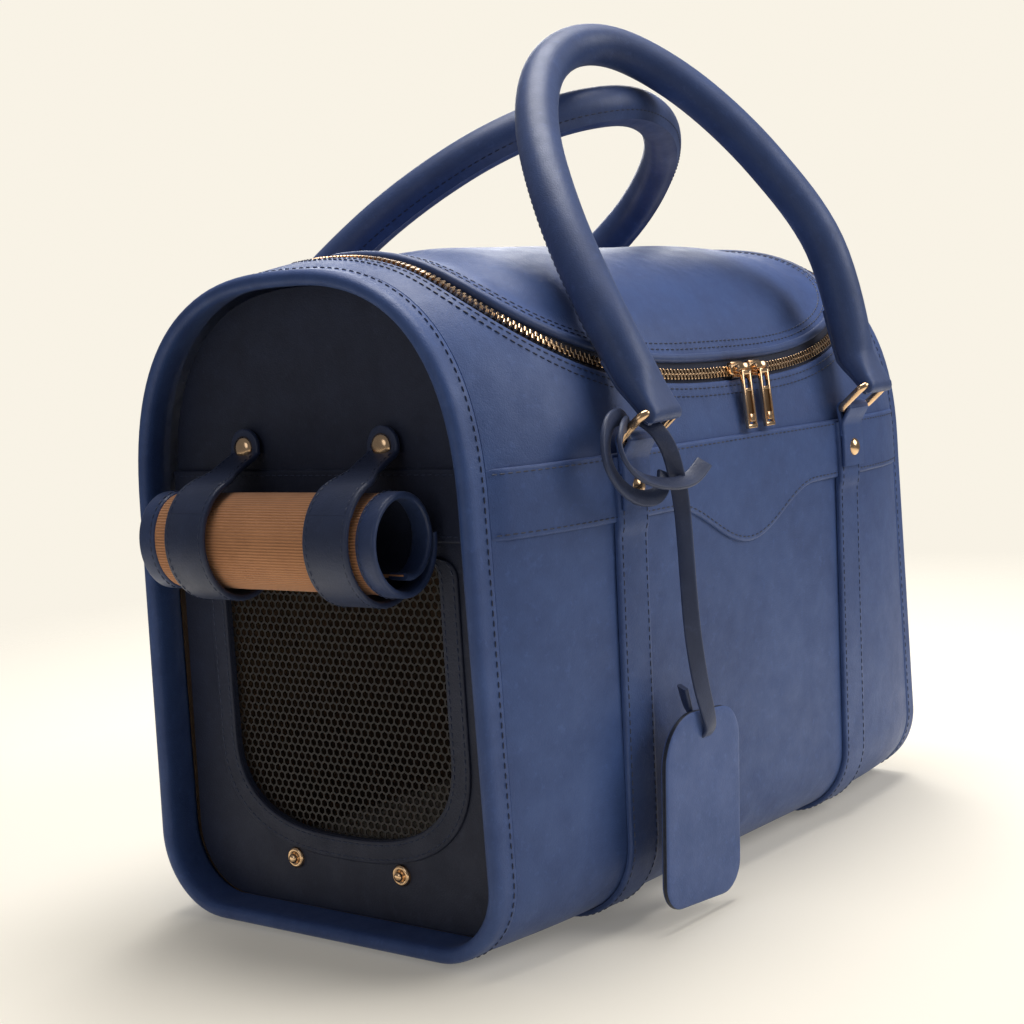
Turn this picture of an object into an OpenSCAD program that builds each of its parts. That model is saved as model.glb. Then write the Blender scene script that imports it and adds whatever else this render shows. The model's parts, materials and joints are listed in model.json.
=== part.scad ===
// Soft pet carrier bag: arched leather body, zipped top lid, mesh end windows with
// roll-up flaps, two rolled handles on D-rings and a hanging tag.
// X runs along the bag, -Y is the side with the zip sliders, Z is up, millimetres.

/* [Body] */
// Length between the edges of the two end rims
body_l = 440; // [420:5:470]
// Half width of an end at the bottom
low_hw = 117; // [112:1:122]
// Half width of an end where the arch begins
arch_hw = 114; // [110:1:120]
// Height of the straight side wall
wall_h = 212; // [205:1:220]
// Height of the top of an end
end_h = 339; // [334:1:350]
// Squareness of the arch, where 2 is a true ellipse
arch_n = 2.56; // [2.2:0.02:3]
// Radius of the bottom corners
corner_r = 42; // [36:1:50]
// How far each side swells out at mid length
side_swell = 17; // [8:1:20]
// How far the top swells up at mid length
top_swell = 11; // [4:1:14]
// Thickness of the leather panels
leather = 3; // [2.5:0.1:3.4]
// How far the end panels sit behind the rim edges
recess = 23; // [18:1:24]

/* [Yoke and straps] */
// Height of the lower edge of the yoke band
yoke_z0 = 206; // [200:1:210]
// Height of the upper edge of the yoke band
yoke_z1 = 240; // [236:1:244]
// Depth of the wave in the yoke's lower edge
wave_h = 25; // [0:1:30]
// Distance of the vertical straps from the middle of the bag
strap_x = 114; // [105:1:120]
// Width of the vertical straps
strap_w = 25; // [22:1:28]

/* [Lid and zip] */
// Half length of the zip's outline
zip_hx = 183; // [176:1:186]
// Squareness of the zip's outline
zip_n = 2.8; // [2.4:0.1:3.4]

/* [End windows] */
// Half width of a mesh window
window_hw = 75; // [70:1:78]
// Height of the window's lower edge
window_z0 = 50; // [48:1:56]
// Height of the window's upper edge
window_z1 = 196; // [190:1:200]
// Width of the leather facing round the window
facing_w = 12; // [10:1:14]

/* [Rolled flaps] */
// Radius of the rolled flap
roll_r = 25.5; // [23:0.5:26]
// Half length of the rolled flap
roll_hl = 82; // [78:1:90]
// Distance of the flap straps from the middle
flap_strap_y = 48; // [44:1:52]
// Width of the flap straps
flap_strap_w = 28; // [24:1:30]

/* [Handles and rings] */
// Radius of the rolled handle
handle_r = 11.8; // [11:0.1:12]
// Diameter of the ring wire
wire_d = 4.4; // [4:0.1:4.6]
// Length of a ring between its two bars
ring_len = 21; // [20:0.5:22]
// Upward tilt of the rings
ring_tilt = 40; // [35:1:45]

/* [Tag] */
// Width of the tag card
tag_w = 70; // [60:1:74]
// Height of the tag card
tag_h = 98; // [90:1:102]

/* [Hidden] */

navy = [0.22, 0.29, 0.45];
navy_dark = [0.14, 0.17, 0.25];
tan_cloth = [0.66, 0.46, 0.30];
gold = [0.86, 0.66, 0.42];
mesh_dark = [0.11, 0.09, 0.08];

half_l = body_l / 2;
// The whole skin stands this high, so the base panel rests on the ground
base_z = 2.5;
// The panels meet the end rims here
seam_x = half_l - 14;
panel_x = half_l - recess;
rim_depth = 7;
swell_x = half_l - 10;
yoke_t = 1.6;
strap_t = 2.4;
round_fn = 48;

// ---- the bag's skin -------------------------------------------------------
// q runs round a cross-section: 0 at the top, -1 and 1 where the arch meets the side walls,
// -2 and 2 above the bottom corners, -3 and 3 under them, -4 and 4 at the bottom's middle.
// Negative q is the -Y side.

function swell(x) = 1 - pow(min(abs(x) / swell_x, 1), 6);
function arch_w(x) = arch_hw + side_swell * swell(x);
function low_w(x) = low_hw + 0.6 * side_swell * swell(x);
function top_z(x) = end_h + top_swell * swell(x);

function half_section(t, x) =
    t < 1 ? [(low_w(x) - corner_r) * t, base_z] :
    t < 2 ? let (a = (t - 1) * 90)
        [low_w(x) - corner_r * (1 - sin(a)), base_z + corner_r * (1 - cos(a))] :
    t < 3 ? let (f = t - 2)
        [low_w(x) + (arch_w(x) - low_w(x)) * f, base_z + corner_r + (wall_h - base_z - corner_r) * f] :
    let (a = (t - 3) * 90)
        [arch_w(x) * pow(max(cos(a), 0), 2 / arch_n),
         wall_h + (top_z(x) - wall_h) * pow(sin(a), 2 / arch_n)];

function turn_q(q) = q > 4 ? q - 8 : q < -4 ? q + 8 : q;
function section(x, q) =
    let (w = turn_q(q), h = half_section(4 - abs(w), x))
    [sign(w) * h[0], h[1]];

// A point on the skin, moved d outwards along the section's normal
function skin(x, q, d) =
    let (e = 0.01, p = section(x, q), t = section(x, q + e) - section(x, q - e), l = norm(t))
    [x, p[0] - d * t[1] / l, p[1] + d * t[0] / l];

// The q of a height z on the side wall or the arch, without its sign
function q_at(z, x) =
    z < wall_h ? 2 - (z - base_z - corner_r) / (wall_h - base_z - corner_r) :
    1 - asin(pow((z - wall_h) / (top_z(x) - wall_h), arch_n / 2)) / 90;

function steps(a, b, n) = [for (i = [0 : n]) a + (b - a) * i / n];

// Faces between two layers of a grid of n by m points, closed along i when wrap is true
function grid_faces(n, m, wrap) =
    let (
        last = wrap ? n - 1 : n - 2,
        o = function(i, j) (i % n) * m + j,
        k = n * m
    )
    concat(
        [for (i = [0 : last]) for (j = [0 : m - 2]) for (f = [
            [o(i, j), o(i, j + 1), o(i + 1, j + 1)], [o(i, j), o(i + 1, j + 1), o(i + 1, j)],
            [k + o(i, j), k + o(i + 1, j + 1), k + o(i, j + 1)],
            [k + o(i, j), k + o(i + 1, j), k + o(i + 1, j + 1)]]) f],
        [for (i = [0 : last]) for (f = [
            [o(i + 1, m - 1), o(i, m - 1), k + o(i, m - 1)],
            [o(i + 1, m - 1), k + o(i, m - 1), k + o(i + 1, m - 1)],
            [o(i, 0), o(i + 1, 0), k + o(i + 1, 0)], [o(i, 0), k + o(i + 1, 0), k + o(i, 0)]]) f],
        wrap ? [] : [for (j = [0 : m - 2]) for (f = [
            [o(0, j + 1), o(0, j), k + o(0, j)], [o(0, j + 1), k + o(0, j), k + o(0, j + 1)],
            [o(n - 1, j), o(n - 1, j + 1), k + o(n - 1, j + 1)],
            [o(n - 1, j), k + o(n - 1, j + 1), k + o(n - 1, j)]]) f]
    );

// A sheet on the skin from depth d0 to d1, through a grid of [x, q, lift] points
module sheet(grid, d0, d1, wrap = false) {
    outer = [for (row = grid) for (c = row) skin(c[0], c[1], d1 + c[2])];
    inner = [for (row = grid) for (c = row) skin(c[0], c[1], d0 + c[2])];
    polyhedron(concat(outer, inner), grid_faces(len(grid), len(grid[0]), wrap));
}

// A tube of k-sided rings along a route; ref is any direction never along the route
function ring_at(p, t, r, ref, k) =
    let (u = cross(t, ref) / norm(cross(t, ref)), v = cross(u, t) / norm(t))
    [for (j = [0 : k - 1]) p + r * (cos(360 * j / k) * u + sin(360 * j / k) * v)];

module tube(route, r, ref, k = 12) {
    n = len(route);
    points = [for (i = [0 : n - 1])
        for (p = ring_at(route[i], route[min(i + 1, n - 1)] - route[max(i - 1, 0)], r, ref, k)) p];
    sides = [for (i = [0 : n - 2]) for (j = [0 : k - 1])
        let (a = i * k + j, b = i * k + (j + 1) % k)
        for (f = [[a, b, b + k], [a, b + k, a + k]]) f];
    ends = [[for (j = [k - 1 : -1 : 0]) j], [for (j = [0 : k - 1]) (n - 1) * k + j]];
    polyhedron(points, concat(sides, ends));
}

// A smooth curve through hand-chosen points
function curve_point(p, i, f) =
    let (n = len(p) - 1, a = p[max(i - 1, 0)], b = p[i], c = p[i + 1], d = p[min(i + 2, n)])
    0.5 * (2 * b + (c - a) * f + (2 * a - 5 * b + 4 * c - d) * f * f + (3 * b - a - 3 * c + d) * f * f * f);
function curve(p, per) = concat(
    [for (i = [0 : len(p) - 2]) for (k = [0 : per - 1]) curve_point(p, i, k / per)], [p[len(p) - 1]]);

// Draws at the -X end, and mirrored at the +X end
module at_end(s) {
    mirror([s > 0 ? 1 : 0, 0, 0]) children();
}

// Stands a 2D outline drawn in Y and Z up as a plate from x0, th thick
module plate(x0, th) {
    translate([x0, 0, 0]) rotate([90, 0, 90]) linear_extrude(th) children();
}

// ---- main panels ----------------------------------------------------------
panel_clear = 0.4;
long_n = 18;

module side_panel(s) {
    qs = s < 0 ? steps(-2.99, -1.004, 12) : steps(1.004, 2.99, 12);
    sheet([for (x = steps(-seam_x, seam_x, long_n)) [for (q = qs) [x, q, 0]]], -leather, 0);
}

module front_panel() color(navy) side_panel(-1);
module back_panel() color(navy) side_panel(1);

module base_panel() color(navy)
    sheet([for (x = steps(-seam_x, seam_x, 12)) [for (q = steps(3, 5, 4)) [x, q, 0]]], -leather, base_z);

// The zip's outline in x and q, moved e millimetres outwards
zip_q = -0.25;
zip_hq = 0.515;
girth_per_q = 186;
function signed_pow(v, p) = sign(v) * pow(abs(v), p);
function zip_point(a, e) =
    [(zip_hx + e) * signed_pow(cos(a), 2 / zip_n),
     zip_q + (zip_hq + e / girth_per_q) * signed_pow(sin(a), 2 / zip_n), 0];

// Half angle of the part of the outline, centred at the back, that is sewn as the lid's hinge
hinge_half = 28;
// Runs from 0 on the zip to 1 on the hinge
function hinge_part(a) =
    let (off = abs(a - 90)) off < hinge_half ? 1 : off > hinge_half + 11 ? 0 : (hinge_half + 11 - off) / 11;
function zip_angles(n) = [for (i = [0 : n - 1]) 360 * i / n];
function teeth_angles(n) = steps(90 + hinge_half + 10, 450 - hinge_half - 10, n);

// Width of the gap from the zip's centre line to the leather edges
edge_gap = 4.2;
lid_gap = 5;
hinge_gap = 0.5;

module top_surround() color(navy)
    sheet([for (a = zip_angles(96))
        let (
            e = edge_gap + (hinge_gap - edge_gap) * hinge_part(a),
            in = zip_point(a, e),
            cx = signed_pow(cos(a), 2 / zip_n),
            sq = signed_pow(sin(a), 2 / zip_n),
            m = max(abs(cx), abs(sq)),
            out = [seam_x * cx / m, sq / m, 0]
        )
        [for (f = steps(0, 1, 5)) out + (in - out) * f]], -leather, 0, true);

lining_x = panel_x - 4.6;
module lining() color(tan_cloth)
    sheet([for (x = steps(-lining_x, lining_x, 12)) [for (q = steps(1.01, 6.99, 26)) [x, q, 0]]],
        -leather - 1.7, -leather - 0.7);

module rounded_rect(hx, hy, r) {
    polygon([for (c = [[1, 1], [-1, 1], [-1, -1], [1, -1]]) for (a = steps(0, 90, 6))
        let (t = a + (c[0] > 0 ? (c[1] > 0 ? 0 : 270) : (c[1] > 0 ? 90 : 180)))
        [c[0] * (hx - r) + r * cos(t), c[1] * (hy - r) + r * sin(t)]]);
}

board_z = base_z + leather + 2;
board_t = 3;
mat_t = 18;
module base_board() color([0.35, 0.33, 0.30])
    translate([0, 0, board_z + 0.2]) linear_extrude(board_t) rounded_rect(lining_x - 4, low_hw - 36, 12);

module cushion_mat() color([0.62, 0.55, 0.46])
    translate([0, 0, board_z + board_t + 0.5]) linear_extrude(mat_t) rounded_rect(lining_x - 6, low_hw - 27, 16);

// ---- ends -----------------------------------------------------------------
module end_outline(d) {
    polygon([for (q = steps(-4, 4 - 0.1, 79)) let (p = skin(half_l, q, d)) [p[1], p[2]]]);
}

// The window's outline, grown by g: straight sides on a rounded bottom
arc_rise = 50;
module window_outline(g) {
    hw = window_hw + g;
    rise = arc_rise + g;
    polygon(concat(
        [for (a = steps(180, 360, 32))
            [hw * signed_pow(cos(a), 2 / 2.6), window_z0 + arc_rise + rise * signed_pow(sin(a), 2 / 2.6)]],
        [for (a = steps(0, 90, 5)) [hw - 9 + 9 * cos(a), window_z1 - 9 + 9 * sin(a)]],
        [for (a = steps(90, 180, 5)) [-hw + 9 + 9 * cos(a), window_z1 - 9 + 9 * sin(a)]]));
}

module end_panel() {
    difference() {
        plate(-panel_x, leather) end_outline(-rim_depth - panel_clear);
        plate(-panel_x - 1, leather + 2) window_outline(0);
        // Bores for the posts of the snap studs
        for (p = stud_places) translate([-panel_x - 1, p[0], p[1]]) rotate([0, 90, 0])
            cylinder(h = leather + 2, d = post_d + 0.1, $fn = round_fn);
    }
}
module end_panel_near() color(navy_dark) at_end(-1) end_panel();
module end_panel_far() color(navy_dark) at_end(1) end_panel();

facing_t = 1.2;
module window_facing() {
    difference() {
        plate(-panel_x - facing_t - 0.05, facing_t) window_outline(facing_w);
        plate(-panel_x - facing_t - 1, facing_t + 2) window_outline(0.1);
    }
}
module window_facing_near() color(navy_dark) at_end(-1) window_facing();
module window_facing_far() color(navy_dark) at_end(1) window_facing();

mesh_t = 0.8;
module mesh_window() plate(-panel_x + leather + 0.1, mesh_t) window_outline(8);
module mesh_window_near() color(mesh_dark) at_end(-1) mesh_window();
module mesh_window_far() color(mesh_dark) at_end(1) mesh_window();

band_t = 2.2;
module end_band() {
    intersection() {
        plate(-panel_x - band_t - 0.05, band_t) end_outline(-rim_depth - panel_clear);
        translate([-half_l, -body_l, yoke_z0 - 2]) cube([half_l, 2 * body_l, yoke_z1 - yoke_z0 + 2]);
    }
}
module end_band_near() color(navy_dark) at_end(-1) end_band();
module end_band_far() color(navy_dark) at_end(1) end_band();

// The rim is one folded ring round the end: [x, depth] corners of its section
rim_section = [[-seam_x - 0.3, 0.7], [-half_l + 2, 0.8], [-half_l, -1], [-half_l, -5.4],
    [-half_l + 1.6, -rim_depth], [-panel_x + leather, -rim_depth],
    [-panel_x + leather, -leather - 1.6], [-seam_x - 0.3, -leather - 1.6]];
module rim() {
    k = len(rim_section);
    n = 72;
    points = [for (i = [0 : n - 1]) for (c = rim_section) skin(c[0], -4 + 8 * i / n, c[1])];
    faces = [for (i = [0 : n - 1]) for (j = [0 : k - 1])
        let (a = i * k + j, b = i * k + (j + 1) % k, c = ((i + 1) % n) * k + (j + 1) % k,
            d = ((i + 1) % n) * k + j)
        for (f = [[a, b, c], [a, c, d]]) f];
    polyhedron(points, faces);
}
module rim_near() color(navy) at_end(-1) rim();
module rim_far() color(navy) at_end(1) rim();

// ---- yoke and straps ------------------------------------------------------
wave_hx = 75;
function wave(x) = abs(x) < wave_hx ? wave_h * pow(cos(90 * x / wave_hx), 2) : 0;
module yoke(s) {
    xs = steps(-seam_x + 0.2, seam_x - 0.2, 36);
    sheet([for (x = xs)
        let (qa = -q_at(yoke_z0 - wave(x), x), qb = -q_at(yoke_z1, x))
        s < 0 ? [for (q = steps(qa, qb, 4)) [x, q, 0]] : [for (q = steps(-qb, -qa, 4)) [x, q, 0]]],
        0.25, yoke_t);
}
module yoke_front() color(navy) yoke(-1);
module yoke_back() color(navy) yoke(1);

// Straps lie on the side wall, and step up over the yoke
strap_top = 238;
function strap_lift(z) = z < yoke_z0 - 8 ? 0.35 : z > yoke_z0 - 2 ? yoke_t + 0.2 :
    0.35 + (yoke_t - 0.15) * (z - yoke_z0 + 8) / 6;
module strap_side(x0, s) {
    zs = concat(steps(base_z + corner_r, yoke_z0 - 8, 6), steps(yoke_z0 - 2, strap_top, 4));
    low = [for (q = steps(-2.99, -2.1, 8)) [q, 0.35]];
    high = [for (z = zs) [-q_at(z, x0), strap_lift(z)]];
    both = concat(low, high);
    order = s < 0 ? both : [for (i = [len(both) - 1 : -1 : 0]) [-both[i][0], both[i][1]]];
    sheet([for (x = steps(x0 - strap_w / 2, x0 + strap_w / 2, 3)) [for (p = order) [x, p[0], p[1]]]], 0, strap_t);
}

// Where a ring hinges in the fold at the top of a strap
ring_z = 246;
ring_y = 137;
wire_r = wire_d / 2;
fold_r = wire_r + 0.08;
fold_out = fold_r + 2.4;

// The folded end of the strap: a tube round the ring's bar and a tail down the strap's face
module ring_fold(x0, s) {
    face = s < 0 ? [1, 1] : [-1, 1];
    fold_w = strap_w - 1.2;
    tail_y = skin(x0, -q_at(220, x0), yoke_t + 0.1 + strap_t + 0.15)[1];
    translate([x0 - fold_w / 2, 0, 0]) rotate([90, 0, 90]) difference() {
        linear_extrude(fold_w) union() {
            translate([s * ring_y, ring_z]) circle(fold_out, $fn = round_fn);
            polygon([[s * (ring_y + fold_out * 0.98), ring_z - 1], [s * (-tail_y + 2.2), ring_z - 26],
                [s * -tail_y, ring_z - 26], [s * -tail_y, ring_z - 7], [s * (ring_y - 1), ring_z - 3]]);
        }
        translate([s * ring_y, ring_z, -1]) cylinder(h = fold_w + 2, r = fold_r, $fn = round_fn);
    }
}

module body_strap(x0) {
    for (s = [-1, 1]) {
        strap_side(x0, s);
        ring_fold(x0, s);
    }
}
module body_strap_near() color(navy) body_strap(-strap_x);
module body_strap_far() color(navy) body_strap(strap_x);

// A low dome on a short collar, its base at the origin and pointing along +Z
module dome(d, h, collar) {
    r = (d * d / 4 + h * h) / (2 * h);
    intersection() {
        cylinder(h = collar + h + 1, d = d, $fn = round_fn);
        translate([0, 0, collar + h - r]) sphere(r, $fn = round_fn);
    }
}

rivet_d = 10;
rivet_z = 224;
module strap_rivets() color(gold)
    for (x = [-strap_x, strap_x]) for (s = [-1, 1])
        translate([x, s * (ring_y + 1.6), rivet_z]) rotate([-90 * s, 0, 0]) dome(rivet_d, 2.2, 0.8);

// ---- zip ------------------------------------------------------------------
tape_d = -leather - 1.8;
module zip_ring(e0, e1, d0, d1, n) {
    sheet([for (a = teeth_angles(n)) [zip_point(a, e1), zip_point(a, (e0 + e1) / 2), zip_point(a, e0)]], d0, d1);
}
module zip_tape_body() color(navy_dark) zip_ring(0.4, 10.4, tape_d, tape_d + 0.9, 56);
module zip_tape_lid() color(navy_dark) zip_ring(-10.4, -0.4, tape_d, tape_d + 0.9, 56);
module zip_teeth_body() color(gold) zip_ring(0.3, 3.7, tape_d + 1.2, -0.6, 56);
module zip_teeth_lid() color(gold) zip_ring(-3.7, -0.3, tape_d + 1.2, -0.6, 56);

// ---- lid ------------------------------------------------------------------
edge_w = 4;
function lid_grid(e, nu, nv) =
    [for (s = steps(-1, 1, nu))
        let (u = 0.995 * sin(90 * s), x = (zip_hx + e) * u,
            rise = pow(1 - pow(abs(u), zip_n), 1 / zip_n),
            h = (zip_hq + e / girth_per_q) * rise)
        [for (q = steps(zip_q - h, zip_q + h, nv)) [x, q, 0]]];

module lid_panel() color(navy) sheet(lid_grid(-lid_gap - edge_w - 0.8, 26, 14), -leather, 0);
module lid_lining() color(tan_cloth) sheet(lid_grid(-15, 12, 10), -leather - 1.7, -leather - 0.7);
module lid_edge() color(navy)
    sheet([for (a = zip_angles(64))
        let (e = -lid_gap + (lid_gap - hinge_gap) * hinge_part(a))
        [zip_point(a, e), zip_point(a, (e - lid_gap - edge_w) / 2), zip_point(a, -lid_gap - edge_w)]],
        -leather, 0.8, true);

// ---- sliders and pulls ----------------------------------------------------
slider_l = 15;
slider_gap = 9.5;
slider_mid = 13;
slider_q = zip_q - zip_hq;
slider_at = skin(slider_mid, slider_q, 0);
pull_pivot = [slider_at[1] - 7.2, slider_at[2] - 1.5];
slider_lean = 24;
bail_r = 1.3;
pull_w = 7.5;
pull_l = 31;
pull_lean = 5;

// A wedge body with a bail standing out of it; the pull's bar runs through the bail
module slider(x0) {
    translate([x0, 0, 0]) difference() {
        union() {
            translate([0, slider_at[1], slider_at[2]]) rotate([90 - slider_lean, 0, 0]) {
                translate([-slider_l / 2, -3.6, 0.4]) cube([slider_l, 7.2, 2.4]);
                for (s = [-1, 1]) translate([s * 5.6 - 1.1, -3, 0.4]) cube([2.2, 6, 4.2]);
            }
            for (s = [-1, 1]) translate([s * 5.6 - 1.1, pull_pivot[0], pull_pivot[1]])
                rotate([0, 90, 0]) cylinder(h = 2.2, r = bail_r + 1.5, $fn = round_fn);
        }
        translate([-slider_l, pull_pivot[0], pull_pivot[1]]) rotate([0, 90, 0])
            cylinder(h = 2 * slider_l, r = bail_r + 0.06, $fn = round_fn);
    }
}
module slider_left() color(gold) slider(slider_mid - slider_gap);
module slider_right() color(gold) slider(slider_mid + slider_gap);

// A long open frame with a heavier lower end, hung from a bar through the bail
module pull(x0) {
    translate([x0, pull_pivot[0], pull_pivot[1]]) rotate([-pull_lean, 0, 0]) {
        translate([-6.6, 0, 0]) rotate([0, 90, 0]) cylinder(h = 13.2, r = bail_r, $fn = round_fn);
        translate([-pull_w / 2 - 0.2, -1.2, -pull_l]) difference() {
            cube([pull_w + 0.4, 2.4, pull_l + 1]);
            translate([1.6, -1, 10]) cube([pull_w - 2.8, 5, pull_l - 13]);
            translate([2.2, -1, 2]) cube([pull_w - 4, 5, 5]);
        }
    }
}
module pull_left() color(gold) pull(slider_mid - slider_gap);
module pull_right() color(gold) pull(slider_mid + slider_gap);

// ---- rings and handles ----------------------------------------------------
bar_w = strap_w + 2 + wire_d;
bar_y = ring_y + ring_len * cos(ring_tilt);
bar_z = ring_z + ring_len * sin(ring_tilt);
ring_bend = 4;

// A round-cornered wire loop in its own XY plane, its inner bar on the X axis
module wire_ring() {
    hx = bar_w / 2;
    r = ring_bend;
    for (y = [0, ring_len]) translate([-hx + r, y, 0]) rotate([0, 90, 0])
        cylinder(h = 2 * (hx - r), d = wire_d, $fn = round_fn);
    for (s = [-1, 1]) translate([s * hx, r, 0]) rotate([-90, 0, 0])
        cylinder(h = ring_len - 2 * r, d = wire_d, $fn = round_fn);
    for (c = [[1, 1, 0], [-1, 1, 90], [-1, -1, 180], [1, -1, 270]])
        translate([c[0] * (hx - r), c[1] > 0 ? ring_len - r : r, 0]) rotate([0, 0, c[2]])
            rotate_extrude(angle = 90, $fn = round_fn) translate([r, 0]) circle(d = wire_d, $fn = round_fn);
}
module d_ring(x, s) {
    translate([x, s * ring_y, ring_z]) rotate([s * ring_tilt, 0, 0]) mirror([0, s < 0 ? 1 : 0, 0]) wire_ring();
}
module ring_near_front() color(gold) d_ring(-strap_x, -1);
module ring_far_front() color(gold) d_ring(strap_x, -1);
module ring_near_back() color(gold) d_ring(-strap_x, 1);
module ring_far_back() color(gold) d_ring(strap_x, 1);

// Centre lines of the two handles, leaning in over the lid
front_route = [[-115, -141, 277], [-116, -122.8, 310], [-100, -89, 360], [-68, -54, 408], [-30, -32, 444],
    [10, -26, 463], [42, -38, 461], [69, -67, 435], [92, -99, 393], [108, -127, 342], [114, -141, 277]];
back_route = [[-107, 137, 281], [-94, 111, 323], [-71, 64, 368], [-44, 21, 400], [-12, -12, 420], [23, -31, 429],
    [62, -32, 430], [110, -16, 422], [152, 15, 404], [175, 58, 373], [159, 107, 328], [121, 141, 281]];

module handle(route, ref) tube(curve(route, 5), handle_r, ref, 14);
module handle_front() color(navy) handle(front_route, [0, -0.87, 0.5]);
module handle_back() color(navy) handle(back_route, [0, 0.7, 0.7]);

// A leather tab folded round the ring's outer bar, with its flared top under the handle's end
tab_w = strap_w - 3;
tab_r = wire_r + 0.08 + 2.6;
module handle_tab(x, s, top, dir) {
    difference() {
        hull() {
            translate([x - tab_w / 2, s * bar_y, bar_z]) rotate([0, 90, 0]) cylinder(h = tab_w, r = tab_r, $fn = 32);
            translate(top - 1.5 * dir) orient(dir) translate([0, 0, -1]) cylinder(h = 1, r = handle_r, $fn = 32);
        }
        translate([x - bar_w, s * bar_y, bar_z]) rotate([0, 90, 0])
            cylinder(h = 2 * bar_w, r = wire_r + 0.08, $fn = round_fn);
    }
}
// Turns +Z to a direction
module orient(v) {
    rotate([0, acos(v[2] / norm(v)), atan2(v[1], v[0])]) children();
}
function unit(v) = v / norm(v);
module handle_tabs(route, s) {
    n = len(route) - 1;
    handle_tab(-strap_x, s, route[0], unit(route[1] - route[0]));
    handle_tab(strap_x, s, route[n], unit(route[n - 1] - route[n]));
}
module handle_tabs_front() color(navy) handle_tabs(front_route, -1);
module handle_tabs_back() color(navy) handle_tabs(back_route, 1);

// ---- rolled flaps ---------------------------------------------------------
strap_in = roll_r + 0.6;
strap_out = strap_in + 3;
roll_x = -(panel_x + band_t + 0.3 + strap_out);
roll_z = 208;
cap_z = 251.6;
cap_d = 12;
post_d = 4;
tip_t = 2.6;
tip_x = -panel_x - 2.4;
stud_flange = 11;
stud_places = [[-37, 34.6], [37, 34.6], [-flap_strap_y, cap_z], [flap_strap_y, cap_z]];

// Rolled cloth: a thick tube with a hollow middle
module flap_roll() {
    translate([roll_x, 0, roll_z]) rotate([-90, 0, 0]) difference() {
        translate([0, 0, -roll_hl + 12]) cylinder(h = 2 * roll_hl - 24, r = roll_r - 0.6, $fn = round_fn);
        translate([0, 0, -roll_hl]) cylinder(h = 2 * roll_hl, r = roll_r - 8, $fn = round_fn);
    }
}
module flap_roll_near() color(tan_cloth) at_end(-1) flap_roll();
module flap_roll_far() color(tan_cloth) at_end(1) flap_roll();

module flap_binding() {
    for (s = [-1, 1]) translate([roll_x, s * (roll_hl - 6), roll_z]) rotate([-90, 0, 0]) difference() {
        translate([0, 0, -5.8]) cylinder(h = 11.6, r = roll_r, $fn = round_fn);
        translate([0, 0, -7]) cylinder(h = 14, r = roll_r - 8.6, $fn = round_fn);
    }
}
module flap_binding_near() color(navy) at_end(-1) flap_binding();
module flap_binding_far() color(navy) at_end(1) flap_binding();

// The strap round the roll, from the seam behind it, under and up over its front
wrap_from = 113;
wrap_to = 360;
module flap_strap(y) {
    translate([roll_x, y + flap_strap_w / 2, roll_z]) rotate([90, 0, 0]) rotate([0, 0, wrap_from])
        rotate_extrude(angle = wrap_to - wrap_from, $fn = 96)
        translate([strap_in, 0]) square([strap_out - strap_in, flap_strap_w]);
}
module flap_strap_near_front() color(navy) at_end(-1) flap_strap(-flap_strap_y);
module flap_strap_near_back() color(navy) at_end(-1) flap_strap(flap_strap_y);
module flap_strap_far_front() color(navy) at_end(1) flap_strap(-flap_strap_y);
module flap_strap_far_back() color(navy) at_end(1) flap_strap(flap_strap_y);

// The loose end of the strap, from the top of the roll up to its snap
fold_a = wrap_from - 1.5;
tip_root = [roll_x + (strap_in + 0.1) * cos(fold_a), roll_z + (strap_in + 0.1) * sin(fold_a)];
tip_bend_z = cap_z - 9;
tip_half = 10;
module flap_tip(y) {
    slope = [tip_x - tip_root[0], tip_bend_z - tip_root[1]] / norm([tip_x - tip_root[0], tip_bend_z - tip_root[1]]);
    up = [-slope[1], slope[0]] * tip_t;
    difference() {
        union() {
            translate([0, y - tip_half, 0]) plate_y(2 * tip_half)
                polygon([tip_root, [tip_x, tip_bend_z], [tip_x, cap_z], [tip_x - tip_t, cap_z],
                    [tip_x - tip_t, tip_bend_z + 1.6], tip_root + up]);
            translate([0, y - flap_strap_w / 2, 0]) plate_y(flap_strap_w)
                polygon([tip_root, tip_root + 14 * slope, tip_root + 14 * slope + up, tip_root + up]);
            translate([tip_x - tip_t, y, cap_z]) rotate([0, 90, 0]) cylinder(h = tip_t, r = tip_half, $fn = round_fn);
        }
        translate([tip_x - tip_t - 1, y, cap_z]) rotate([0, 90, 0]) cylinder(h = tip_t + 2, d = cap_bore, $fn = round_fn);
    }
}
// Extrudes an outline drawn in X and Z along +Y
module plate_y(th) {
    translate([0, th, 0]) rotate([90, 0, 0]) linear_extrude(th) children();
}
cap_bore = 7;
module flap_tip_near_front() color(navy) at_end(-1) flap_tip(-flap_strap_y);
module flap_tip_near_back() color(navy) at_end(-1) flap_tip(flap_strap_y);
module flap_tip_far_front() color(navy) at_end(1) flap_tip(-flap_strap_y);
module flap_tip_far_back() color(navy) at_end(1) flap_tip(flap_strap_y);

// The snap's cap: a dome outside the strap with a socket that goes through it
module snap_cap(y) {
    translate([tip_x - tip_t - 0.05, y, cap_z]) rotate([0, -90, 0]) dome(cap_d, 2.4, 0.8);
    translate([tip_x - tip_t - 0.1, y, cap_z]) rotate([0, 90, 0]) difference() {
        cylinder(h = tip_t, d = cap_bore - 0.1, $fn = round_fn);
        translate([0, 0, 0.6]) cylinder(h = tip_t, d = post_d + 1, $fn = round_fn);
    }
}
module snap_cap_near_front() color(gold) at_end(-1) snap_cap(-flap_strap_y);
module snap_cap_near_back() color(gold) at_end(-1) snap_cap(flap_strap_y);
module snap_cap_far_front() color(gold) at_end(1) snap_cap(-flap_strap_y);
module snap_cap_far_back() color(gold) at_end(1) snap_cap(flap_strap_y);

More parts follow.
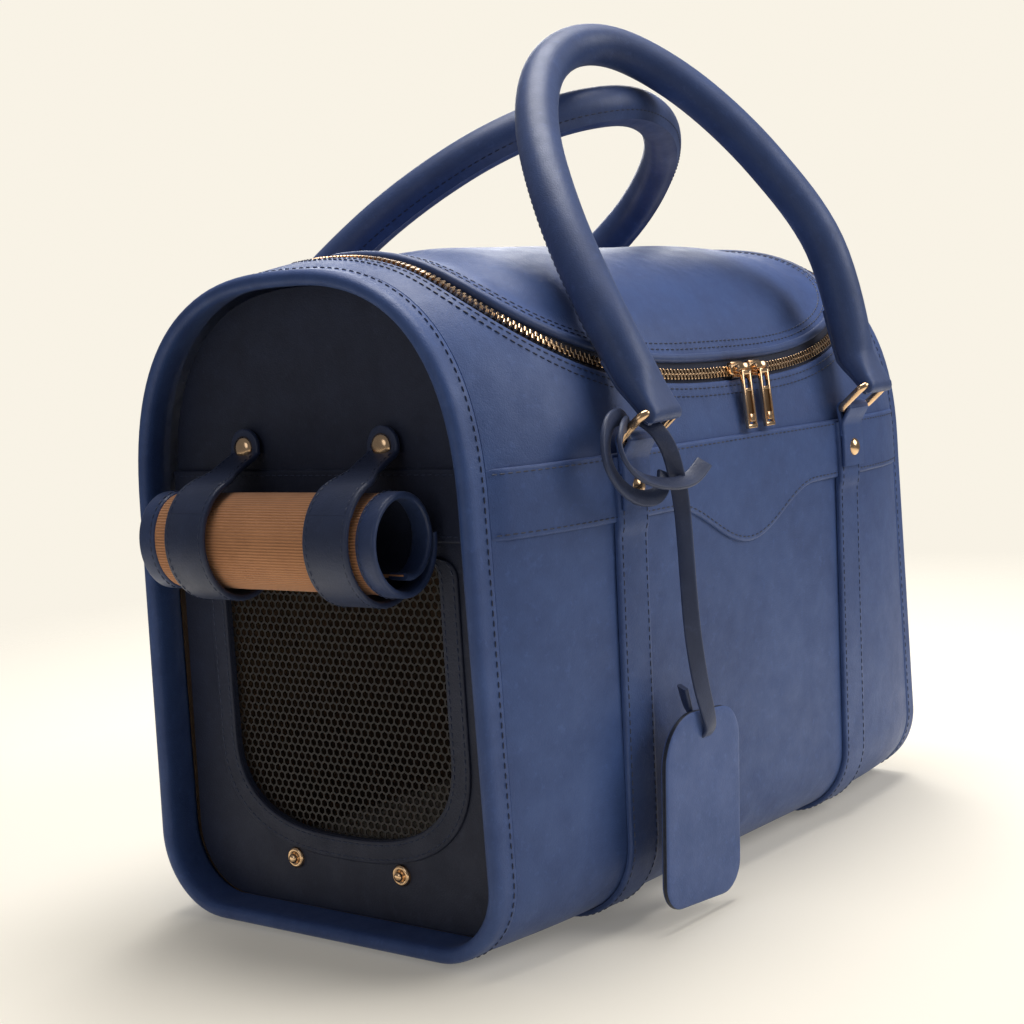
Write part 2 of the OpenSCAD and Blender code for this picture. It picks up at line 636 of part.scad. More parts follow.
// Snap studs riveted through the end panels: flange, knob and post
module stud(p) {
    translate([-panel_x - 1.3, p[0], p[1]]) rotate([0, -90, 0]) {
        translate([0, 0, -1.2]) cylinder(h = 1.9, d = stud_flange, $fn = round_fn);
        cylinder(h = 2.6, d = post_d, $fn = round_fn);
        translate([0, 0, -leather - 1.9]) cylinder(h = leather + 1.9, d = post_d, $fn = round_fn);
    }
}
module snap_studs() color(gold)
    for (e = [-1, 1]) at_end(e) for (p = stud_places) stud(p);

// ---- tag ------------------------------------------------------------------
tag_t = 4;
tag_y = -149;
slot_x = -86;
slot_z = 94;
thong_t = 2.4;
thong_w = 9;
loop_r = 7.5;
loop_hl = 2;
turn_r = 4.4;
join_z = 138;
card_top = 12;
ring_arm_x = -strap_x - bar_w / 2;
hang_z = ring_z + ring_len * sin(ring_tilt) / 2;
hang_y = -ring_y - ring_len * cos(ring_tilt) / 2;

// A flat thong: a loop round the ring's arm, a strand down to the card, and a turn through its slot
module tag_strap() color(navy_dark) {
    translate([ring_arm_x, hang_y, hang_z]) rotate([90 - ring_tilt, 0, 0]) difference() {
        translate([0, 0, -loop_hl]) cylinder(h = 2 * loop_hl, r = loop_r + thong_t, $fn = round_fn);
        translate([0, 0, -loop_hl - 1]) cylinder(h = 2 * loop_hl + 2, r = loop_r, $fn = round_fn);
    }
    front_y = tag_y - turn_r - thong_t;
    loop_z = hang_z - 6;
    translate([ring_arm_x - thong_w / 2, front_y, loop_z - 8]) cube([thong_w, hang_y - front_y - 3, 9]);
    translate([0, front_y, 0]) plate_y(thong_t)
        polygon([[ring_arm_x - thong_w / 2, loop_z], [ring_arm_x + thong_w / 2, loop_z],
            [slot_x + thong_w / 2, join_z], [slot_x + thong_w / 2, slot_z],
            [slot_x - thong_w / 2, slot_z], [slot_x - thong_w / 2, join_z]]);
    translate([slot_x - thong_w / 2, tag_y, slot_z]) rotate([90, 0, 90]) linear_extrude(thong_w) {
        difference() {
            circle(turn_r + thong_t, $fn = round_fn);
            circle(turn_r, $fn = round_fn);
            translate([-20, 0]) square([40, 20]);
        }
        translate([turn_r, -0.01]) square([thong_t, join_z - slot_z]);
    }
}

module tag_card() color(navy)
    translate([slot_x - 2, tag_y + tag_t / 2, slot_z + card_top - tag_h / 2]) rotate([90, 0, 0])
        linear_extrude(tag_t) difference() {
            rounded_rect(tag_w / 2, tag_h / 2, 18);
            translate([2, tag_h / 2 - card_top - 2]) rounded_rect(thong_w / 2 + 2, turn_r + thong_t + 0.4, 2);
        }

front_panel();
back_panel();
base_panel();
top_surround();
lining();
base_board();
cushion_mat();
end_panel_near();
end_panel_far();
mesh_window_near();
mesh_window_far();
window_facing_near();
window_facing_far();
rim_near();
rim_far();
yoke_front();
yoke_back();
end_band_near();
end_band_far();
body_strap_near();
body_strap_far();
strap_rivets();
snap_studs();
zip_tape_body();
zip_teeth_body();
flap_roll_near();
flap_roll_far();
flap_binding_near();
flap_binding_far();
flap_strap_near_front();
flap_strap_near_back();
flap_strap_far_front();
flap_strap_far_back();
lid_panel();
lid_edge();
lid_lining();
zip_tape_lid();
zip_teeth_lid();
slider_left();
slider_right();
pull_left();
pull_right();
ring_near_front();
ring_far_front();
ring_near_back();
ring_far_back();
handle_front();
handle_back();
handle_tabs_front();
handle_tabs_back();
flap_tip_near_front();
flap_tip_near_back();
flap_tip_far_front();
flap_tip_far_back();
snap_cap_near_front();
snap_cap_near_back();
snap_cap_far_front();
snap_cap_far_back();
tag_strap();
tag_card();
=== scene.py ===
"""Pet carrier bag: leather, cloth, net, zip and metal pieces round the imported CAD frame.

Helpers work in millimetres.
"""
import json
import math

import bmesh
import bpy
import numpy as np
from mathutils import Matrix, Vector, noise


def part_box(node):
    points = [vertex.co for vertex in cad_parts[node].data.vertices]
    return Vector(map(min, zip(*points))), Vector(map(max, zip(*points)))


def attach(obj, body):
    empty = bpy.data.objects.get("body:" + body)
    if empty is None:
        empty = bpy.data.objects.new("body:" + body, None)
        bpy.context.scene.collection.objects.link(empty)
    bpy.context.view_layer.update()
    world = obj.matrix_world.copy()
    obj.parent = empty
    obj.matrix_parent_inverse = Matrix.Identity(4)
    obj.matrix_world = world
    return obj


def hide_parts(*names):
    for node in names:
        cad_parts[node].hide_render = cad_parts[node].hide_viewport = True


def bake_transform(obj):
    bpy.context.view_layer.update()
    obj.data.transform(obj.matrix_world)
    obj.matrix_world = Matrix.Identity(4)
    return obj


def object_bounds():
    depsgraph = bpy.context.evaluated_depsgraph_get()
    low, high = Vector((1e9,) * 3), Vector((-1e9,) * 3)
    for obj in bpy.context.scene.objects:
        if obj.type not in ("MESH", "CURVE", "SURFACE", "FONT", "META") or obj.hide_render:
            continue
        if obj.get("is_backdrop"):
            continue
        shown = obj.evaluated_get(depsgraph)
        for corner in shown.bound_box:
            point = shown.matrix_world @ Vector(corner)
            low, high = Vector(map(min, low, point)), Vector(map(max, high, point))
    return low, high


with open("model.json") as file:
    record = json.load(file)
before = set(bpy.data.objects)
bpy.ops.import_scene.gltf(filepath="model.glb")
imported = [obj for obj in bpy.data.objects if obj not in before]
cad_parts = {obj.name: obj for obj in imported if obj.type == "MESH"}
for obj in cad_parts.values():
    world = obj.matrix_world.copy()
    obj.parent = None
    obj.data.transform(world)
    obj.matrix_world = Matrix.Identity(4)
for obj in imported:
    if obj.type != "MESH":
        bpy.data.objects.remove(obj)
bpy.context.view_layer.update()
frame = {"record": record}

MM = 0.001
TAU = 2 * math.pi
NODE_BODY = {n: b for b, ns in frame["record"]["behaviour"]["bodies"].items() for n in ns}

# ---- the bag's form, as in the CAD source ---------------------------------
HALF_L, LOW_HW, ARCH_HW, WALL_H, END_H, ARCH_N = 220, 117, 114, 212, 339, 2.56
CORNER_R, SIDE_SWELL, TOP_SWELL, BASE_Z = 42, 17, 11, 2.5
LEATHER, SEAM_X, PANEL_X, SWELL_X = 3, 206, 197, 210
YOKE_Z0, YOKE_Z1, WAVE_H, WAVE_HX = 206, 240, 25, 75
STRAP_X, STRAP_W = 114, 25
# How far the yoke and a strap's face stand off what they lie on, and how far the yoke lifts a strap
YOKE_OUT, STRAP_OUT, OVER_YOKE = 1.75, 2.3, 1.8
ZIP_HX, ZIP_N, ZIP_Q, ZIP_HQ, GIRTH = 183, 2.8, -0.25, 0.515, 186
HINGE_HALF = 28
WINDOW_HW, WINDOW_Z0, WINDOW_Z1, FACING_W, ARC_RISE = 75, 50, 196, 12, 50
RING_Y, RING_Z, WIRE_D, RING_LEN, RING_TILT = 137, 246, 4.4, 21, 40
BAR_Y = RING_Y + RING_LEN * math.cos(math.radians(RING_TILT))
BAR_Z = RING_Z + RING_LEN * math.sin(math.radians(RING_TILT))
BAR_W = STRAP_W + 2 + WIRE_D
ROLL_R, ROLL_HL, ROLL_Z, ROLL_Y = 25.5, 81, 208, -2
WRAP_IN, WRAP_T = ROLL_R + 0.6, 3
ROLL_X = PANEL_X + 2.5 + WRAP_IN + WRAP_T
FLAP_Y, FLAP_W, CAP_Z, TIP_X, TIP_T, TIP_HALF = 48, 28, 251.6, PANEL_X + 2.4, 2.6, 10
SLIDER_MID, SLIDER_GAP = 13, 9.5


def swell(x):
    return 1 - min(abs(x) / SWELL_X, 1) ** 6


def spow(v, p):
    return math.copysign(abs(v) ** p, v)


def half_section(t, x):
    low = LOW_HW + 0.6 * SIDE_SWELL * swell(x)
    arch = ARCH_HW + SIDE_SWELL * swell(x)
    top = END_H + TOP_SWELL * swell(x)
    if t < 1:
        return (low - CORNER_R) * t, BASE_Z
    if t < 2:
        a = (t - 1) * math.pi / 2
        return low - CORNER_R * (1 - math.sin(a)), BASE_Z + CORNER_R * (1 - math.cos(a))
    if t < 3:
        return low + (arch - low) * (t - 2), BASE_Z + CORNER_R + (WALL_H - BASE_Z - CORNER_R) * (t - 2)
    a = (t - 3) * math.pi / 2
    return (arch * max(math.cos(a), 0) ** (2 / ARCH_N),
            WALL_H + (top - WALL_H) * max(math.sin(a), 0) ** (2 / ARCH_N))


def section(x, q):
    w = q - 8 if q > 4 else q + 8 if q < -4 else q
    y, z = half_section(4 - abs(w), x)
    return math.copysign(y, w), z


def skin(x, q, d=0.0):
    """A point on the skin, d mm outwards. q runs round: 0 at the top, 1 and -1 at the arch's feet, 4 under it."""
    (y, z), a, b = section(x, q), section(x, q - 0.01), section(x, q + 0.01)
    ty, tz = b[0] - a[0], b[1] - a[1]
    n = math.hypot(ty, tz) or 1
    return Vector((x, y - d * tz / n, z + d * ty / n))


def skin_normal(x, q):
    return (skin(x, q, 1) - skin(x, q, 0)).normalized()


def q_at(z, x):
    if z < WALL_H:
        return 2 - (z - BASE_Z - CORNER_R) / (WALL_H - BASE_Z - CORNER_R)
    top = END_H + TOP_SWELL * swell(x)
    return 1 - math.degrees(math.asin(((z - WALL_H) / (top - WALL_H)) ** (ARCH_N / 2))) / 90


def zip_point(a, e):
    """x and q of the zip's outline at angle a in degrees, e mm outwards of the teeth's middle line."""
    c, s = math.cos(math.radians(a)), math.sin(math.radians(a))
    return (ZIP_HX + e) * spow(c, 2 / ZIP_N), ZIP_Q + (ZIP_HQ + e / GIRTH) * spow(s, 2 / ZIP_N)


def zip_at(a, e, d):
    return skin(*zip_point(a, e), d)


def hinge_part(a):
    return min(max((HINGE_HALF + 11 - abs(a % 360 - 90)) / 11, 0), 1)


def wave(x):
    return WAVE_H * math.cos(math.pi * x / 2 / WAVE_HX) ** 2 if abs(x) < WAVE_HX else 0


def spread(a, b, n):
    return [a + (b - a) * i / n for i in range(n + 1)]


def edge_spread(a, b, n, lip=2.4):
    """Steps from a to b in mm that crowd towards both ends, so that a turned edge is round."""
    fine = [0, 0.12, 0.4, 0.8, 1.4, lip]
    s = 1 if b > a else -1
    return [a + s * f for f in fine] + spread(a + s * lip, b - s * lip, n)[1:-1] + [b - s * f for f in fine[::-1]]


def turned(dist, r=1.3):
    """How far a turned edge drops, dist mm in from it."""
    return r - math.sqrt(max(r * r - (r - min(max(dist, 0), r)) ** 2, 0))


def curve(points, per):
    """A smooth curve through a few points, in per steps from each to the next."""
    p = [Vector(v) for v in points]
    out = []
    for i in range(len(p) - 1):
        a, b, c, d = p[max(i - 1, 0)], p[i], p[i + 1], p[min(i + 2, len(p) - 1)]
        for k in range(per):
            f = k / per
            out.append(0.5 * (2 * b + (c - a) * f + (2 * a - 5 * b + 4 * c - d) * f * f
                              + (3 * b - a - 3 * c + d) * f ** 3))
    return out + [p[-1]]


def lengths(line):
    """How far along a line each of its points is."""
    out = [0.0]
    for a, b in zip(line, line[1:]):
        out.append(out[-1] + (b - a).length)
    return out


# ---- mesh makers ----------------------------------------------------------
def loop_faces(n, k, closed=False, ends=False):
    """Faces between n loops of k points, and over the first and last loop when ends is true."""
    f = [(i * k + j, i * k + (j + 1) % k, (i + 1) % n * k + (j + 1) % k, (i + 1) % n * k + j)
         for i in range(n if closed else n - 1) for j in range(k)]
    return f + ([tuple(range(k - 1, -1, -1)), tuple((n - 1) * k + j for j in range(k))] if ends else [])


def worn_box(size, bevel, segments=2, matrix=Matrix.Identity(4)):
    """The points and faces of a box with worn edges."""
    bm = bmesh.new()
    bmesh.ops.create_cube(bm, size=1)
    bmesh.ops.scale(bm, vec=Vector(size), verts=bm.verts)
    bmesh.ops.bevel(bm, geom=bm.edges[:], offset=bevel, segments=segments, affect="EDGES", profile=0.5)
    bmesh.ops.transform(bm, matrix=matrix, verts=bm.verts)
    bm.verts.index_update()
    made = [v.co.copy() for v in bm.verts], [[v.index for v in f.verts] for f in bm.faces]
    bm.free()
    return made


def link(ob):
    bpy.context.scene.collection.objects.link(ob)
    return ob


class Build:
    """Collects shapes in millimetres and makes one piece of them."""

    def __init__(self):
        self.verts, self.faces, self.arc, self.slots = [], [], [], []

    def add(self, verts, faces, arc=None, slot=0):
        o = len(self.verts)
        self.verts += [Vector(v) for v in verts]
        self.faces += [tuple(o + i for i in f) for f in faces]
        self.arc += list(arc) if arc is not None else [0.0] * len(verts)
        self.slots += [slot] * len(faces)
        return self

    def solid(self, outer, inner, wrap=False, arc=None, slot=0):
        """A closed sheet between two grids of points, closed along its rows when wrap is true."""
        n, m = len(outer), len(outer[0])
        k = n * m
        at = lambda i, j: (i % n) * m + j
        f = []
        for i in range(n if wrap else n - 1):
            for j in range(m - 1):
                f.append((at(i, j), at(i + 1, j), at(i + 1, j + 1), at(i, j + 1)))
                f.append((k + at(i, j), k + at(i, j + 1), k + at(i + 1, j + 1), k + at(i + 1, j)))
            f.append((at(i, 0), k + at(i, 0), k + at(i + 1, 0), at(i + 1, 0)))
            f.append((at(i, m - 1), at(i + 1, m - 1), k + at(i + 1, m - 1), k + at(i, m - 1)))
        if not wrap:
            for j in range(m - 1):
                f.append((at(0, j), at(0, j + 1), k + at(0, j + 1), k + at(0, j)))
                f.append((at(n - 1, j), k + at(n - 1, j), k + at(n - 1, j + 1), at(n - 1, j + 1)))
        flat = [p for r in outer for p in r] + [p for r in inner for p in r]
        return self.add(flat, f, None if arc is None else [v for r in arc for v in r] * 2, slot)

    def sweep(self, centres, us, vs, sections, closed=False, arc=None, slot=0):
        """Sections, lists of (u, v), set along a line of centres with directions us and vs."""
        n = len(centres)
        if not isinstance(sections[0][0], (tuple, list)):
            sections = [sections] * n
        k = len(sections[0])
        verts = [c + u * a + v * b for c, u, v, s in zip(centres, us, vs, sections) for a, b in s]
        along = None if arc is None else [a for a in arc for _ in range(k)]
        return self.add(verts, loop_faces(n, k, closed, not closed), along, slot)

    def ribbon(self, path, across, shape, closed=False, arc=None, slot=0):
        """A strap's section swept along a path; across is its width direction, one or one a point."""
        n = len(path)
        us, vs = [], []
        for i in range(n):
            t = path[(i + 1) % n if closed else min(i + 1, n - 1)] - path[(i - 1) % n if closed else max(i - 1, 0)]
            w = (across[i] if isinstance(across, list) else across).normalized()
            v = t.cross(w).normalized()
            us.append(v.cross(t).normalized())
            vs.append(v)
        return self.sweep(path, us, vs, shape, closed, arc, slot)

    def lathe(self, profile, at, axis, sides=40, slot=0):
        """A profile of (radius, height) turned about an axis through at. Radius 0 closes an end."""
        axis = Vector(axis).normalized()
        u = axis.orthogonal().normalized()
        v = axis.cross(u)
        verts, rings = [], []
        for r, h in profile:
            c = Vector(at) + axis * h
            if r <= 0:
                rings.append([len(verts)])
                verts.append(c)
            else:
                rings.append(list(range(len(verts), len(verts) + sides)))
                verts += [c + (u * math.cos(TAU * i / sides) + v * math.sin(TAU * i / sides)) * r
                          for i in range(sides)]
        f = []
        for a, b in zip(rings, rings[1:]):
            for i in range(sides):
                j = (i + 1) % sides
                if len(a) == 1:
                    f.append((a[0], b[j], b[i]))
                elif len(b) == 1:
                    f.append((a[i], a[j], b[0]))
                else:
                    f.append((a[i], a[j], b[j], b[i]))
        for ring in (rings[0], rings[-1]):
            if len(ring) > 1:
                f.append(tuple(ring))
        return self.add(verts, f, slot=slot)

    def block(self, at, size, turn=None, bevel=0.4, slot=0):
        """A box with worn edges, size across, turned by a matrix about its middle."""
        m = Matrix.Translation(Vector(at)) @ (turn or Matrix.Identity(3)).to_4x4()
        return self.add(*worn_box(size, bevel, matrix=m), slot=slot)

    def make(self, name, materials, nodes=(), body=None, slot=None, sharp=38, bend=None):
        """The piece, riding on its nodes' body, or left in place on no body when bend is given."""
        materials = materials if isinstance(materials, (list, tuple)) else [materials]
        nodes = [nodes] if isinstance(nodes, str) else list(nodes)
        mesh = bpy.data.meshes.new(name)
        mesh.from_pydata([v * MM for v in self.verts], [], self.faces)
        for m in materials:
            mesh.materials.append(m)
        mesh.polygons.foreach_set("material_index", self.slots)
        arc = mesh.attributes.new("arc", "FLOAT", "POINT")
        arc.data.foreach_set("value", np.array(self.arc, np.float32))
        bm = bmesh.new()
        bm.from_mesh(mesh)
        bmesh.ops.remove_doubles(bm, verts=bm.verts, dist=2e-6)
        bmesh.ops.recalc_face_normals(bm, faces=bm.faces)
        bm.to_mesh(mesh)
        bm.free()
        mesh.polygons.foreach_set("use_smooth", [True] * len(mesh.polygons))
        mesh.set_sharp_from_angle(angle=math.radians(sharp))
        ob = link(bpy.data.objects.new(name, mesh))
        if bend:
            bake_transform(ob)
        else:
            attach(ob, body or NODE_BODY[nodes[0]])
        if nodes:
            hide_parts(*nodes)
        return ob


def round_rect(w, t, r, steps=3, low=0.0):
    """A section w wide from low to low + t thick, its corners rounded."""
    r = min(r, w / 2 - 0.01, t / 2 - 0.01)
    out = []
    for cx, cy, a0 in ((1, 1, 0), (-1, 1, 90), (-1, 0, 180), (1, 0, 270)):
        for k in range(steps + 1):
            a = math.radians(a0 + 90 * k / steps)
            y = t - r if cy else r
            out.append((cx * (w / 2 - r) + r * math.cos(a), low + y + r * math.sin(a)))
    return out


def circle(r, sides=20):
    return [(r * math.cos(TAU * i / sides), r * math.sin(TAU * i / sides)) for i in range(sides)]


def resample(points, normals, pitch, start=None, closed=False):
    """Places at even steps along a line: (point, tangent, normal) for each."""
    pts = [Vector(p) for p in points]
    nrm = [Vector(n) for n in normals]
    if closed:
        pts.append(pts[0])
        nrm.append(nrm[0])
    length = lengths(pts)
    if closed:
        pitch = length[-1] / round(length[-1] / pitch)
    out, at, i = [], pitch * (0.6 if start is None else start), 0
    while at < length[-1] - (0 if closed else pitch * 0.4):
        while length[i + 1] < at:
            i += 1
        step = pts[i + 1] - pts[i]
        f = (at - length[i]) / max(step.length, 1e-9)
        out.append((pts[i] + step * f, step.normalized(), nrm[i].lerp(nrm[i + 1], f).normalized()))
        at += pitch
    return out


class Stamp:
    """Copies of one small shape, set on places along lines, made into one piece."""

    def __init__(self, shape, faces):
        self.shape, self.faces, self.build = np.array(shape, float), faces, Build()

    def put(self, places, lift=0.0, side=0.0):
        for p, t, n in places:
            b = n.cross(t).normalized()
            m = np.array([t, b, n])
            verts = self.shape @ m + np.array(p + n * lift + b * side)
            self.build.add([Vector(v) for v in verts], self.faces)
        return self


def stitch_shape(length, r):
    rings = ((-0.5, 0.35, -0.3), (-0.3, 1, 0), (0.3, 1, 0), (0.5, 0.35, -0.3))
    verts = [(s * length, k * r * math.cos(TAU * j / 5), k * r * math.sin(TAU * j / 5) + dz * r)
             for s, k, dz in rings for j in range(5)]
    faces = [(i * 5 + j, i * 5 + (j + 1) % 5, i * 5 + 5 + (j + 1) % 5, i * 5 + 5 + j)
             for i in range(3) for j in range(5)]
    return verts, faces + [(4, 3, 2, 1, 0), (15, 16, 17, 18, 19)]


PITCH, STITCH_L, STITCH_R = 4.4, 3.0, 0.36
threads = {}


def sew(group, points, normals, lift=0.1, pitch=PITCH, closed=False):
    """Stitches along a line on a surface, kept in a group that becomes one piece."""
    stamp = threads.setdefault(group, Stamp(*stitch_shape(STITCH_L, STITCH_R)))
    stamp.put(resample(points, normals, pitch, closed=closed), lift)


def sew_skin(group, line, lift, pitch=PITCH, closed=False):
    """Stitches along a line of (x, q, d) places on the skin."""
    sew(group, [skin(*p) for p in line], [skin_normal(x, q) for x, q, _ in line], lift, pitch, closed)


# ---- materials ------------------------------------------------------------
class Nodes:
    """A short way to write a material's nodes."""

    def __init__(self, name, record_slot):
        self.mat = bpy.data.materials.new(name)
        self.mat["record_slot"] = record_slot
        self.mat.use_nodes = True
        self.tree = self.mat.node_tree
        self.out = self.tree.nodes["Principled BSDF"]
        self.coord = self.add("TexCoord").outputs["Object"]

    def add(self, kind, **inputs):
        n = self.tree.nodes.new("ShaderNode" + kind)
        for k, v in inputs.items():
            self.put(n, k, v)
        return n

    def put(self, n, key, v):
        numbered = key[0] == "i" and key[1:].isdigit()
        socket = n.inputs[int(key[1:]) if numbered else key.replace("_", " ")]
        if isinstance(v, bpy.types.NodeSocket):
            self.tree.links.new(v, socket)
        else:
            socket.default_value = v

    def noise(self, scale, detail=3.0, rough=0.55, at=None):
        return self.add("TexNoise", Vector=at or self.coord, Scale=scale, Detail=detail, Roughness=rough).outputs["Fac"]

    def cells(self, scale, feature="F1"):
        n = self.add("TexVoronoi", Vector=self.coord, Scale=scale)
        n.feature = feature
        return n.outputs["Distance"]

    def math(self, op, a, b=0.0):
        n = self.tree.nodes.new("ShaderNodeMath")
        n.operation = op
        self.put(n, "i0", a)
        self.put(n, "i1", b)
        return n.outputs[0]

    def ramp(self, fac, low, high, a, b):
        """A value or colour that goes from a to b as fac goes from low to high."""
        n = self.add("MapRange", Value=fac, From_Min=low, From_Max=high)
        if isinstance(a, (int, float)):
            self.put(n, "To Min", a)
            self.put(n, "To Max", b)
            return n.outputs["Result"]
        return self.mix(n.outputs["Result"], a, b)

    def mix(self, fac, a, b):
        n = self.tree.nodes.new("ShaderNodeMix")
        n.data_type = "RGBA"
        self.put(n, "i0", fac)
        for i, v in ((6, a), (7, b)):
            self.put(n, "i%d" % i, v if isinstance(v, bpy.types.NodeSocket) else (*v, 1))
        return n.outputs[2]

    def bump(self, height, depth, strength=1.0, normal=None):
        n = self.add("Bump", Height=height, Distance=depth, Strength=strength)
        if normal:
            self.put(n, "Normal", normal)
        return n.outputs["Normal"]

    def arc(self):
        n = self.add("Attribute")
        n.attribute_name = "arc"
        return n.outputs["Fac"]

    def finish(self, **inputs):
        for k, v in inputs.items():
            self.put(self.out, k, v)
        return self.mat


def leather(name, slot, dark, light, rough=0.5, grain=1.0, sheen=0.05):
    """Soft matt leather: cloudy colour, scuffs and a fine nap."""
    n = Nodes(name, slot)
    cloud, mottle, nap = n.noise(9, 4, 0.6), n.noise(55, 4, 0.65), n.noise(900, 2)
    tone = n.math("ADD", n.math("MULTIPLY", cloud, 0.55), n.math("MULTIPLY", mottle, 0.45))
    colour = n.ramp(tone, 0.36, 0.64, dark, light)
    scuff = n.ramp(n.noise(190, 5, 0.7), 0.56, 0.74, 0.0, 0.35)
    colour = n.mix(scuff, colour, [min(c * 1.5 + 0.01, 1) for c in light])
    pores = n.ramp(n.cells(1150), 0.0, 0.55, 0.0, 1.0)
    height = n.math("ADD", n.math("MULTIPLY", pores, 0.5), nap)
    wide = n.bump(mottle, 0.0012, 0.25 * grain)
    return n.finish(Base_Color=colour, Roughness=n.ramp(mottle, 0.3, 0.7, rough + 0.07, rough - 0.06),
                    Normal=n.bump(height, 0.00022, 0.55 * grain, wide), Sheen_Weight=sheen,
                    Sheen_Roughness=0.45, Specular_IOR_Level=0.42)


def cloth(name, slot, dark, light, rib, depth=0.0004, rough=0.85, along=True):
    """Cloth with ribs rib mm apart along the piece's arc attribute, or woven when along is false."""
    n = Nodes(name, slot)
    fibre = n.noise(1500, 2)
    if along:
        swing = n.math("SINE", n.math("MULTIPLY", n.arc(), TAU / rib))
    else:
        x, y, z = n.add("SeparateXYZ", Vector=n.coord).outputs
        lean = n.math("ADD", y, n.math("MULTIPLY", z, 0.7))
        warp = n.math("SINE", n.math("MULTIPLY", n.math("ADD", x, z), TAU / (rib * MM)))
        weft = n.math("SINE", n.math("MULTIPLY", lean, TAU / (rib * MM)))
        swing = n.math("MULTIPLY", warp, weft)
    ribs = n.math("ADD", n.math("MULTIPLY", swing, 0.5), 0.5)
    tone = n.math("ADD", n.math("MULTIPLY", ribs, 0.45), n.math("MULTIPLY", n.noise(70, 4), 0.55))
    colour = n.ramp(tone, 0.2, 0.8, dark, light)
    height = n.math("ADD", ribs, n.math("MULTIPLY", fibre, 0.35))
    return n.finish(Base_Color=colour, Roughness=n.ramp(fibre, 0.2, 0.8, rough + 0.06, rough - 0.05),
                    Normal=n.bump(height, depth, 0.8), Sheen_Weight=0.2)


def metal(name, slot, tint, rough=0.17):
    n = Nodes(name, slot)
    haze, scratch = n.noise(120, 3), n.noise(1400, 2)
    return n.finish(Base_Color=n.ramp(haze, 0.3, 0.7, tint, [c * 0.86 for c in tint]), Metallic=1.0,
                    Roughness=n.ramp(haze, 0.3, 0.7, rough - 0.04, rough + 0.08),
                    Normal=n.bump(scratch, 0.00003, 0.3))


def plain(name, slot, dark, light, rough=0.6, scale=400):
    n = Nodes(name, slot)
    f = n.noise(scale, 3)
    return n.finish(Base_Color=n.ramp(f, 0.3, 0.7, dark, light), Roughness=n.ramp(f, 0.3, 0.7, rough, rough - 0.12),
                    Normal=n.bump(f, 0.0002, 0.5))


NAVY = leather("navy_leather", "leather", (0.026, 0.056, 0.175), (0.043, 0.087, 0.245))
# The ends' leather is the navy leather painted darker and greyer: painted shade of the ends, which face away from the
# lamps.
SHADED_END_LEATHER = leather("end_leather", "end_leather", (0.010, 0.014, 0.032), (0.018, 0.024, 0.052), 0.55, 1.2)
ROLLED = leather("handle_leather", "leather", (0.027, 0.050, 0.140), (0.046, 0.080, 0.205), 0.46, 0.7)
THONG = leather("thong_leather", "thong_leather", (0.018, 0.028, 0.070), (0.036, 0.054, 0.120), 0.45, 0.8)
# The flap straps take a darker navy close to the end leather: painted shade, as on the ends.
SHADED_STRAP_LEATHER = leather("flap_strap_leather", "end_leather", (0.016, 0.025, 0.060), (0.028, 0.041, 0.092), 0.42, 0.9)
BIND = leather("binding_leather", "leather", (0.020, 0.036, 0.095), (0.034, 0.056, 0.140), 0.4, 0.8)
TAG = leather("tag_leather", "leather", (0.040, 0.078, 0.215), (0.062, 0.110, 0.290), 0.52, 1.1)
EDGE = plain("cut_edge", "thong_leather", (0.008, 0.010, 0.020), (0.022, 0.028, 0.046), 0.5)
THREAD = plain("navy_thread", "leather", (0.008, 0.014, 0.040), (0.020, 0.032, 0.080), 0.55, 2500)
END_THREAD = plain("end_thread", "end_leather", (0.014, 0.021, 0.048), (0.034, 0.050, 0.105), 0.55, 2500)
CANVAS = cloth("tan_canvas", "flap_canvas", (0.41, 0.172, 0.066), (0.60, 0.268, 0.112), 1.5)
LINING = cloth("lining_weave", "lining_cloth", (0.17, 0.100, 0.055), (0.26, 0.158, 0.090), 1.4, 0.0002,
               along=False)
MAT_CLOTH = cloth("mat_weave", "mat_cloth", (0.30, 0.24, 0.17), (0.44, 0.36, 0.27), 2.2, 0.0003,
                  along=False)
NET = plain("window_net", "window_mesh", (0.006, 0.005, 0.0045), (0.019, 0.014, 0.012), 0.6, 1500)
TAPE = cloth("zip_tape_weave", "zip_tape", (0.012, 0.017, 0.040), (0.030, 0.044, 0.095), 1.1, 0.0002)
GOLD = metal("rose_gold", "gold_metal", (0.86, 0.58, 0.34))
DIM = metal("shaded_gold", "gold_metal", (0.16, 0.10, 0.055), 0.45)
BOARD = plain("grey_board", "board", (0.09, 0.085, 0.08), (0.14, 0.13, 0.12), 0.8, 300)

# ---- camera ---------------------------------------------------------------
LENS, SENSOR, CAMERA_AT = 64.5075, 36, (-0.86313, -0.64796, 0.30016)
yaw, pitch, roll = (math.radians(v) for v in (-51.71, 5.44, -3.63))
back = Vector((math.sin(yaw) * math.cos(pitch), -math.cos(yaw) * math.cos(pitch), math.sin(pitch)))
right = (-back).cross(Vector((0, 0, 1))).normalized()
up = right.cross(-back)
axes = Matrix((right * math.cos(roll) + up * math.sin(roll), up * math.cos(roll) - right * math.sin(roll), back))
camera = link(bpy.data.objects.new("camera", bpy.data.cameras.new("camera")))
camera.data.lens = LENS
camera.data.sensor_width = SENSOR
camera.matrix_world = Matrix.Translation(CAMERA_AT) @ axes.transposed().to_4x4()
bpy.context.scene.camera = camera


# ---- main panels ----------------------------------------------------------
def slack(x, q, depth=0.7):
    """Soft unevenness of a leather panel, always inwards."""
    p = Vector((x / 75, q * 1.7, 4.0))
    return -depth * (0.5 + 0.5 * noise.noise(p)) * min(1, (SEAM_X - abs(x)) / 25)


